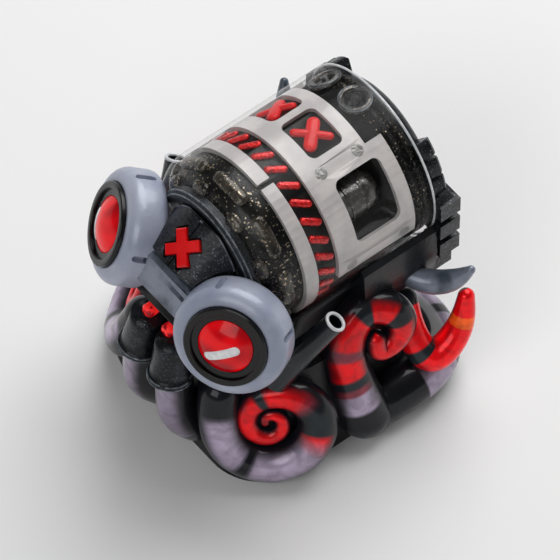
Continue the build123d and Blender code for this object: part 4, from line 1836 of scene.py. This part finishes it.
@dataclass(frozen=True)
class Head:
    """The head between the goggles, with its plate, bridge, collar and cuffs."""

    edge: float = 0.11
    cuff_foot: float = 7.3
    collar_front: float = -4.6
    collar_height: float = 13.5
    plate_radius: float = 3.26
    plate_thickness: float = 0.6
    plate_half: float = 57.5
    plate_start: Point = (0.0, -4.9, 17.09)
    plate_end: Point = (0.0, -7.34, 14.98)
    plate_gap: float = 0.12
    plate_edge_front: float = -5.6
    mark_place: float = 1.35
    mark_size: float = 2.2
    mark_arm: float = 0.66
    mark_depth: float = 0.35
    mark_border: float = 0.1
    mark_turn: float = 45.0
    mark_levels: tuple[Flat, ...] = ((1.0, -0.35), (1.0, -0.03), (0.93, 0.05))
    seam_half: float = 0.035
    seam_reach: float = 4.0
    seam_levels: tuple[Flat, ...] = ((1.0, -0.09), (1.0, 0.4))

    def _slope(self) -> Vector:
        """Direction in which the plate falls forward."""
        return (Vector(self.plate_end) - Vector(self.plate_start)).normalized()

    def _up(self) -> Vector:
        """Direction out of the middle of the plate."""
        return self._slope().cross(Vector((1.0, 0.0, 0.0)))

    def _blank(self) -> Shape:
        """The curved plate before anything is cut from it."""
        turned = Matrix((Vector((1.0, 0.0, 0.0)), self._up(), self._slope())).transposed().to_4x4()
        frame = Matrix.Translation(Vector(self.plate_start)) @ turned
        low, high = 90 - self.plate_half, 90 + self.plate_half
        centre = (0.0, -self.plate_radius)
        outline = round_corner(centre, self.plate_radius, low, high, 48)
        outline += round_corner(centre, self.plate_radius - self.plate_thickness, high, low, 40)
        length = (Vector(self.plate_end) - Vector(self.plate_start)).length
        return prism(outline, frame, ((1.0, 0.0), (1.0, length)))

    def _behind(self) -> Shape:
        """Block behind the collar's front, where the plate ends."""
        far = 9.0
        upright = Matrix(((1, 0, 0, 0), (0, 0, -1, 0), (0, 1, 0, 0), (0, 0, 0, 1)))
        place = Vector((0.0, self.collar_front - self.plate_gap, self.collar_height))
        square = ((far, far), (-far, far), (-far, -far), (far, -far))
        return prism(square, Matrix.Translation(place) @ upright, ((1.0, 0.0), (1.0, -far)))

    def _room(self, side: Side) -> Shape:
        """Space that the plate leaves round a goggle.

        Args:
            side: Which goggle.

        Returns:
            Corners and faces.
        """
        goggle, gap = Goggle(), self.plate_gap
        reach, rear = goggle.radius + gap, -goggle.depth - gap
        profile = ((0.0, rear), (reach, rear), (reach, gap), (0.0, gap))
        return lathe(profile, goggle.frame(side), 128)

    def _plate(self, finishes: Finishes) -> bpy.types.Object:
        """Makes the curved plate with the seat of its mark.

        Args:
            finishes: The cap's finishes.

        Returns:
            The plate.
        """
        plate = new_piece("forehead_shield", finishes["gunmetal"], "grey_metal", *self._blank())
        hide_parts("forehead_plate")
        cut(plate, cutter("behind", self._behind()))
        for side in Side:
            cut(plate, cutter("room", self._room(side)))
        scale = 1 + 2 * self.mark_border / self.mark_size
        levels = ((1.0, -self.mark_depth), (scale, self.mark_depth))
        seat = prism(self._mark_outline(self.mark_border), self._mark_frame(self.mark_turn), levels)
        cut(plate, cutter("seat", seat))
        half, far = self.seam_half, self.seam_reach
        groove = ((half, far), (-half, far), (-half, -far), (half, -far))
        cut(plate, cutter("seam", prism(groove, self._mark_frame(0.0), self.seam_levels)))
        return plate

    def _mark_frame(self, turn: float) -> Matrix:
        """Frame of the red mark, with Z out of the plate.

        Args:
            turn: Turn in the plate's plane, in degrees.

        Returns:
            The frame.
        """
        slope = self._slope()
        turned = Matrix((Vector((1.0, 0.0, 0.0)), -slope, self._up())).transposed().to_4x4()
        place = Vector(self.plate_end) - slope * self.mark_place
        return Matrix.Translation(place) @ turned @ Matrix.Rotation(math.radians(turn), 4, "Z")

    def _mark_outline(self, border: float = 0.0) -> list[Flat]:
        """Outline of the red mark: two crossing bars.

        Args:
            border: How far it is grown all round.

        Returns:
            Its corners.
        """
        long, short = self.mark_size / 2 + border, self.mark_arm / 2 + border
        outline: list[Flat] = []
        quarter = [(long, -short), (long, short), (short, short)]
        for _ in range(4):
            outline += quarter
            quarter = [(-y, x) for x, y in quarter]
        return outline

    def build(self, finishes: Finishes, nodes: dict[str, bpy.types.Object]) -> None:
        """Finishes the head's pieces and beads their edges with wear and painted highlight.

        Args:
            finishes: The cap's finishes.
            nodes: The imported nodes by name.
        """
        plain = (
            ("head_core", "black_resin", "black_resin"),
            ("collar", "dark_metal", "grey_metal"),
            ("nose_bridge", "blue_steel", "lilac_metal"),
            ("mouth_lights", "light_red", "red_dome"),
            ("cuff_right", "dark_metal", "dark_metal"),
            ("cuff_left", "dark_metal", "dark_metal"),
            ("mantle", "black_resin", "black_resin"),
            ("switch_stem", "stem_black", "stem_plastic"),
        )
        pieces = {node: finished(node, finishes[finish], nodes) for node, finish, slot in plain}
        wear_and_highlight = finishes["worn_edge"]
        # Wear and painted highlight: only plate edges facing up and back, towards the key lamp, get a bright
        # bead.
        edge_lines(
            self._plate(finishes), "plate_edges", wear_and_highlight, "grey_metal", self.edge,
            lambda middle, outward: (
                outward.z > 0.1 and outward.y > 0.3 and middle.y > self.plate_edge_front
            ),
        )
        outline, frame = self._mark_outline(), self._mark_frame(self.mark_turn)
        mark = new_piece(
            "cross_mark", finishes["red_paint"], "red_metallic", *prism(outline, frame, self.mark_levels)
        )
        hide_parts("plus_mark")
        edge_lines(
            pieces["collar"], "collar_edges", wear_and_highlight, "grey_metal", self.edge,
            lambda middle, outward: outward.y < 0.3 and middle.z > 9.0,
            crease=25.0,
        )
        for side in Side:
            edge_lines(
                pieces[f"cuff_{side.word}"], f"cuff_lip_{side.word}", wear_and_highlight, "dark_metal", self.edge,
                lambda middle, outward: middle.z < self.cuff_foot and outward.y < 0.2,
            )


@dataclass(frozen=True)
class Harness:
    """Straps, fins and pipes round the drum."""

    pipe_top: Point = (7.2, -1.15, 12.2)
    pipe_foot: Point = (5.2, -3.95, 7.0)
    pipe_radius: float = 0.62
    pipe_bore: float = 0.47
    pipe_bore_depth: float = 1.6
    pipe_foot_radius: float = 0.98
    pipe_swell: float = 1.5
    pipe_rim: Flat = (0.2, 0.04)
    fin_front: Point = (0.5, -0.3, 0.8)
    fin_path: tuple[Station, ...] = (
        (5.5, 5.5, 8.9, 0.62, 0.0), (6.5, 6.2, 8.8, 0.72, 0.3), (7.6, 7.0, 9.5, 0.62, 0.65),
        (8.4, 7.6, 10.8, 0.26, 1.0),
    )

    def _pipe_ends(self, side: Side) -> tuple[Vector, Vector]:
        """Top and foot of a pipe.

        Args:
            side: Which side of the cap.

        Returns:
            The two points, in millimetres.
        """
        top, foot = (Vector((side.value * end[0], *end[1:])) for end in (self.pipe_top, self.pipe_foot))
        return top, foot

    def _pipe(self, side: Side) -> Shape:
        """Open pipe that widens towards its foot.

        Args:
            side: Which side of the cap.

        Returns:
            Corners and faces.
        """
        top, foot = self._pipe_ends(side)
        length = (top - foot).length
        growth = self.pipe_foot_radius - self.pipe_radius
        swell = [
            (self.pipe_radius + growth * share**self.pipe_swell, -length * share)
            for share in np.linspace(1, 0, 20)
        ]
        profile = [
            (0.0, -length), *swell, (self.pipe_bore, 0.0), (self.pipe_bore, -self.pipe_bore_depth),
            (0.0, -self.pipe_bore_depth),
        ]
        return lathe(profile, axis_frame(top, top - foot), 64)

    def _pipe_rim(self, side: Side) -> Shape:
        """Pale bead round a pipe's mouth.

        Args:
            side: Which side of the cap.

        Returns:
            Corners and faces.
        """
        top, foot = self._pipe_ends(side)
        thickness, sunk = self.pipe_rim
        frame = axis_frame(top - (top - foot).normalized() * sunk, top - foot)
        return bead((self.pipe_radius + self.pipe_bore) / 2, thickness, frame)

    def build(self, finishes: Finishes, nodes: dict[str, bpy.types.Object]) -> None:
        """Makes the pipes and fins and finishes the straps.

        Args:
            finishes: The cap's finishes.
            nodes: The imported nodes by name.
        """
        blade = ArmShape("fin", "blue_steel", self.fin_front, self.fin_path, rings=60)
        for side in Side:
            finished(f"rear_strap_{side.word}", finishes["strap_paint"], nodes)
            fin = blade.build(side, finishes)
            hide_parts(f"side_fin_{side.word}")
            horn = self._pipe(side)
            pipe = new_piece(f"pipe_horn_{side.word}", finishes["pipe_black"], "black_gloss", *horn)
            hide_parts(f"pipe_{side.word}")
            rim = self._pipe_rim(side)
            new_piece(f"pipe_rim_{side.word}", finishes["pale_rim"], "black_gloss", *rim)


@dataclass(frozen=True)
class Lamp:
    """One soft rectangular light, in millimetres and watts."""

    name: str
    place: Point
    aim: Point
    size: Flat
    power: float

    def build(self) -> None:
        """Makes the light."""
        data = bpy.data.lights.new(self.name, "AREA")
        data.shape = "RECTANGLE"
        data.size, data.size_y = self.size[0] * MM, self.size[1] * MM
        data.energy = self.power
        back = (Vector(self.place) - Vector(self.aim)).normalized()
        turned = back.to_track_quat("Z", "Y").to_matrix().to_4x4()
        linked(self.name, data).matrix_world = Matrix.Translation(Vector(self.place) * MM) @ turned


@dataclass(frozen=True)
class Studio:
    """Camera, pale floor and soft lights."""

    right: Point = (0.6225, 0.7826, 0.0)
    up: Point = (-0.6387, 0.5080, 0.5779)
    target: Point = (1.49, -0.56, 9.34)
    distance: float = 400.0
    focal: float = 457.7
    sensor: float = 36.0
    clip: Flat = (10.0, 10000.0)
    floor_level: float = 0.884
    floor_half: float = 1500.0
    floor_roughness: float = 0.9
    floor_shine: float = 0.1
    shadow_reach: float = 45.0
    sky_level: float = 0.13
    horizon: Flat = (0.10, 0.26)
    lamps: tuple[Lamp, ...] = (
        Lamp("key", (-50.0, 100.0, 166.0), (0.0, 0.0, 8.0), (175.0, 175.0), 0.38),
        Lamp("fill", (50.0, -132.0, 142.0), (0.0, 0.0, 8.0), (130.0, 100.0), 0.10),
    )

    def _camera(self) -> None:
        """Makes the camera at the photograph's angle."""
        data = bpy.data.cameras.new("camera")
        data.lens, data.sensor_width, data.sensor_fit = self.focal, self.sensor, "HORIZONTAL"
        data.clip_start, data.clip_end = self.clip[0] * MM, self.clip[1] * MM
        camera = linked("camera", data)
        back = Vector(self.right).cross(Vector(self.up)).normalized()
        turned = Matrix((Vector(self.right), Vector(self.up), back)).transposed().to_4x4()
        camera.matrix_world = Matrix.Translation((Vector(self.target) + back * self.distance) * MM) @ turned
        bpy.context.scene.camera = camera

    def _floor(self) -> None:
        """Makes the floor, which keeps the cap's shadow."""
        half = self.floor_half * MM
        corners = [(-half, -half, 0), (half, -half, 0), (half, half, 0), (-half, half, 0)]
        mesh = bpy.data.meshes.new("floor")
        mesh.from_pydata(corners, [], [(0, 1, 2, 3)])
        mesh.materials.append(self._floor_paint())
        linked("floor", mesh)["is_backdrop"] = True

    def _floor_paint(self) -> bpy.types.Material:
        """Matt paint near the cap, which turns into an even pale level away from it."""
        painter = Painter("floor_paint")
        level = (self.floor_level,) * 3
        painter.set(
            base_color=level, roughness=self.floor_roughness, specular_ior_level=self.floor_shine
        )
        distance = painter.node("ShaderNodeVectorMath", {"operation": "LENGTH"}, {0: painter.place})
        reach = self.shadow_reach * MM
        far = Channel(painter, distance.outputs["Value"]).step(reach, 2 * reach)
        path = painter.node("ShaderNodeLightPath").outputs
        seen = Channel(painter, path["Is Camera Ray"]) + Channel(painter, path["Is Glossy Ray"])
        seen = seen + Channel(painter, path["Is Transmission Ray"])
        pale = painter.node("ShaderNodeEmission", None, {"Color": level, "Strength": 1.0})
        painter.show(far * seen, painter.shader.outputs[0], pale.outputs[0])
        return painter.material

    def _world(self) -> None:
        """Lights the scene faintly from above and brightly along the horizon."""
        world = bpy.data.worlds.new("studio")
        bpy.context.scene.world = world
        world.use_nodes = True
        graph = Graph(world.node_tree)
        way = graph.node("ShaderNodeTexCoord").outputs["Generated"]
        height = Channel(graph, graph.node("ShaderNodeSeparateXYZ", None, {0: way}).outputs[2])
        low, high = (self.floor_level,) * 3, (self.sky_level,) * 3
        level = graph.mix(height.step(*self.horizon), low, high)
        graph.feed(world.node_tree.nodes["Background"].inputs["Color"], level)

    def build(self) -> None:
        """Makes the camera, the floor, the world and the lights."""
        self._camera()
        self._floor()
        self._world()
        for lamp in self.lamps:
            lamp.build()


def main() -> None:
    """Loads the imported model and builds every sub-assembly round it."""
    logging.basicConfig(level=logging.INFO, format="%(name)s: %(message)s")
    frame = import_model()
    bpy.context.scene.view_settings.view_transform = "Standard"
    finishes = Finishes()
    nodes = frame["nodes"]
    Casting().build(finishes)
    Drum().build(finishes, nodes)
    Head().build(finishes, nodes)
    for side in Side:
        Goggle().build(side, finishes)
    Harness().build(finishes, nodes)
    Studio().build()
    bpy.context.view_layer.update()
    for piece in sorted(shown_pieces(), key=lambda each: each.name):
        LOG.info("%s: %d faces", piece.name, len(piece.data.polygons))


if __name__ == "__main__":
    main()
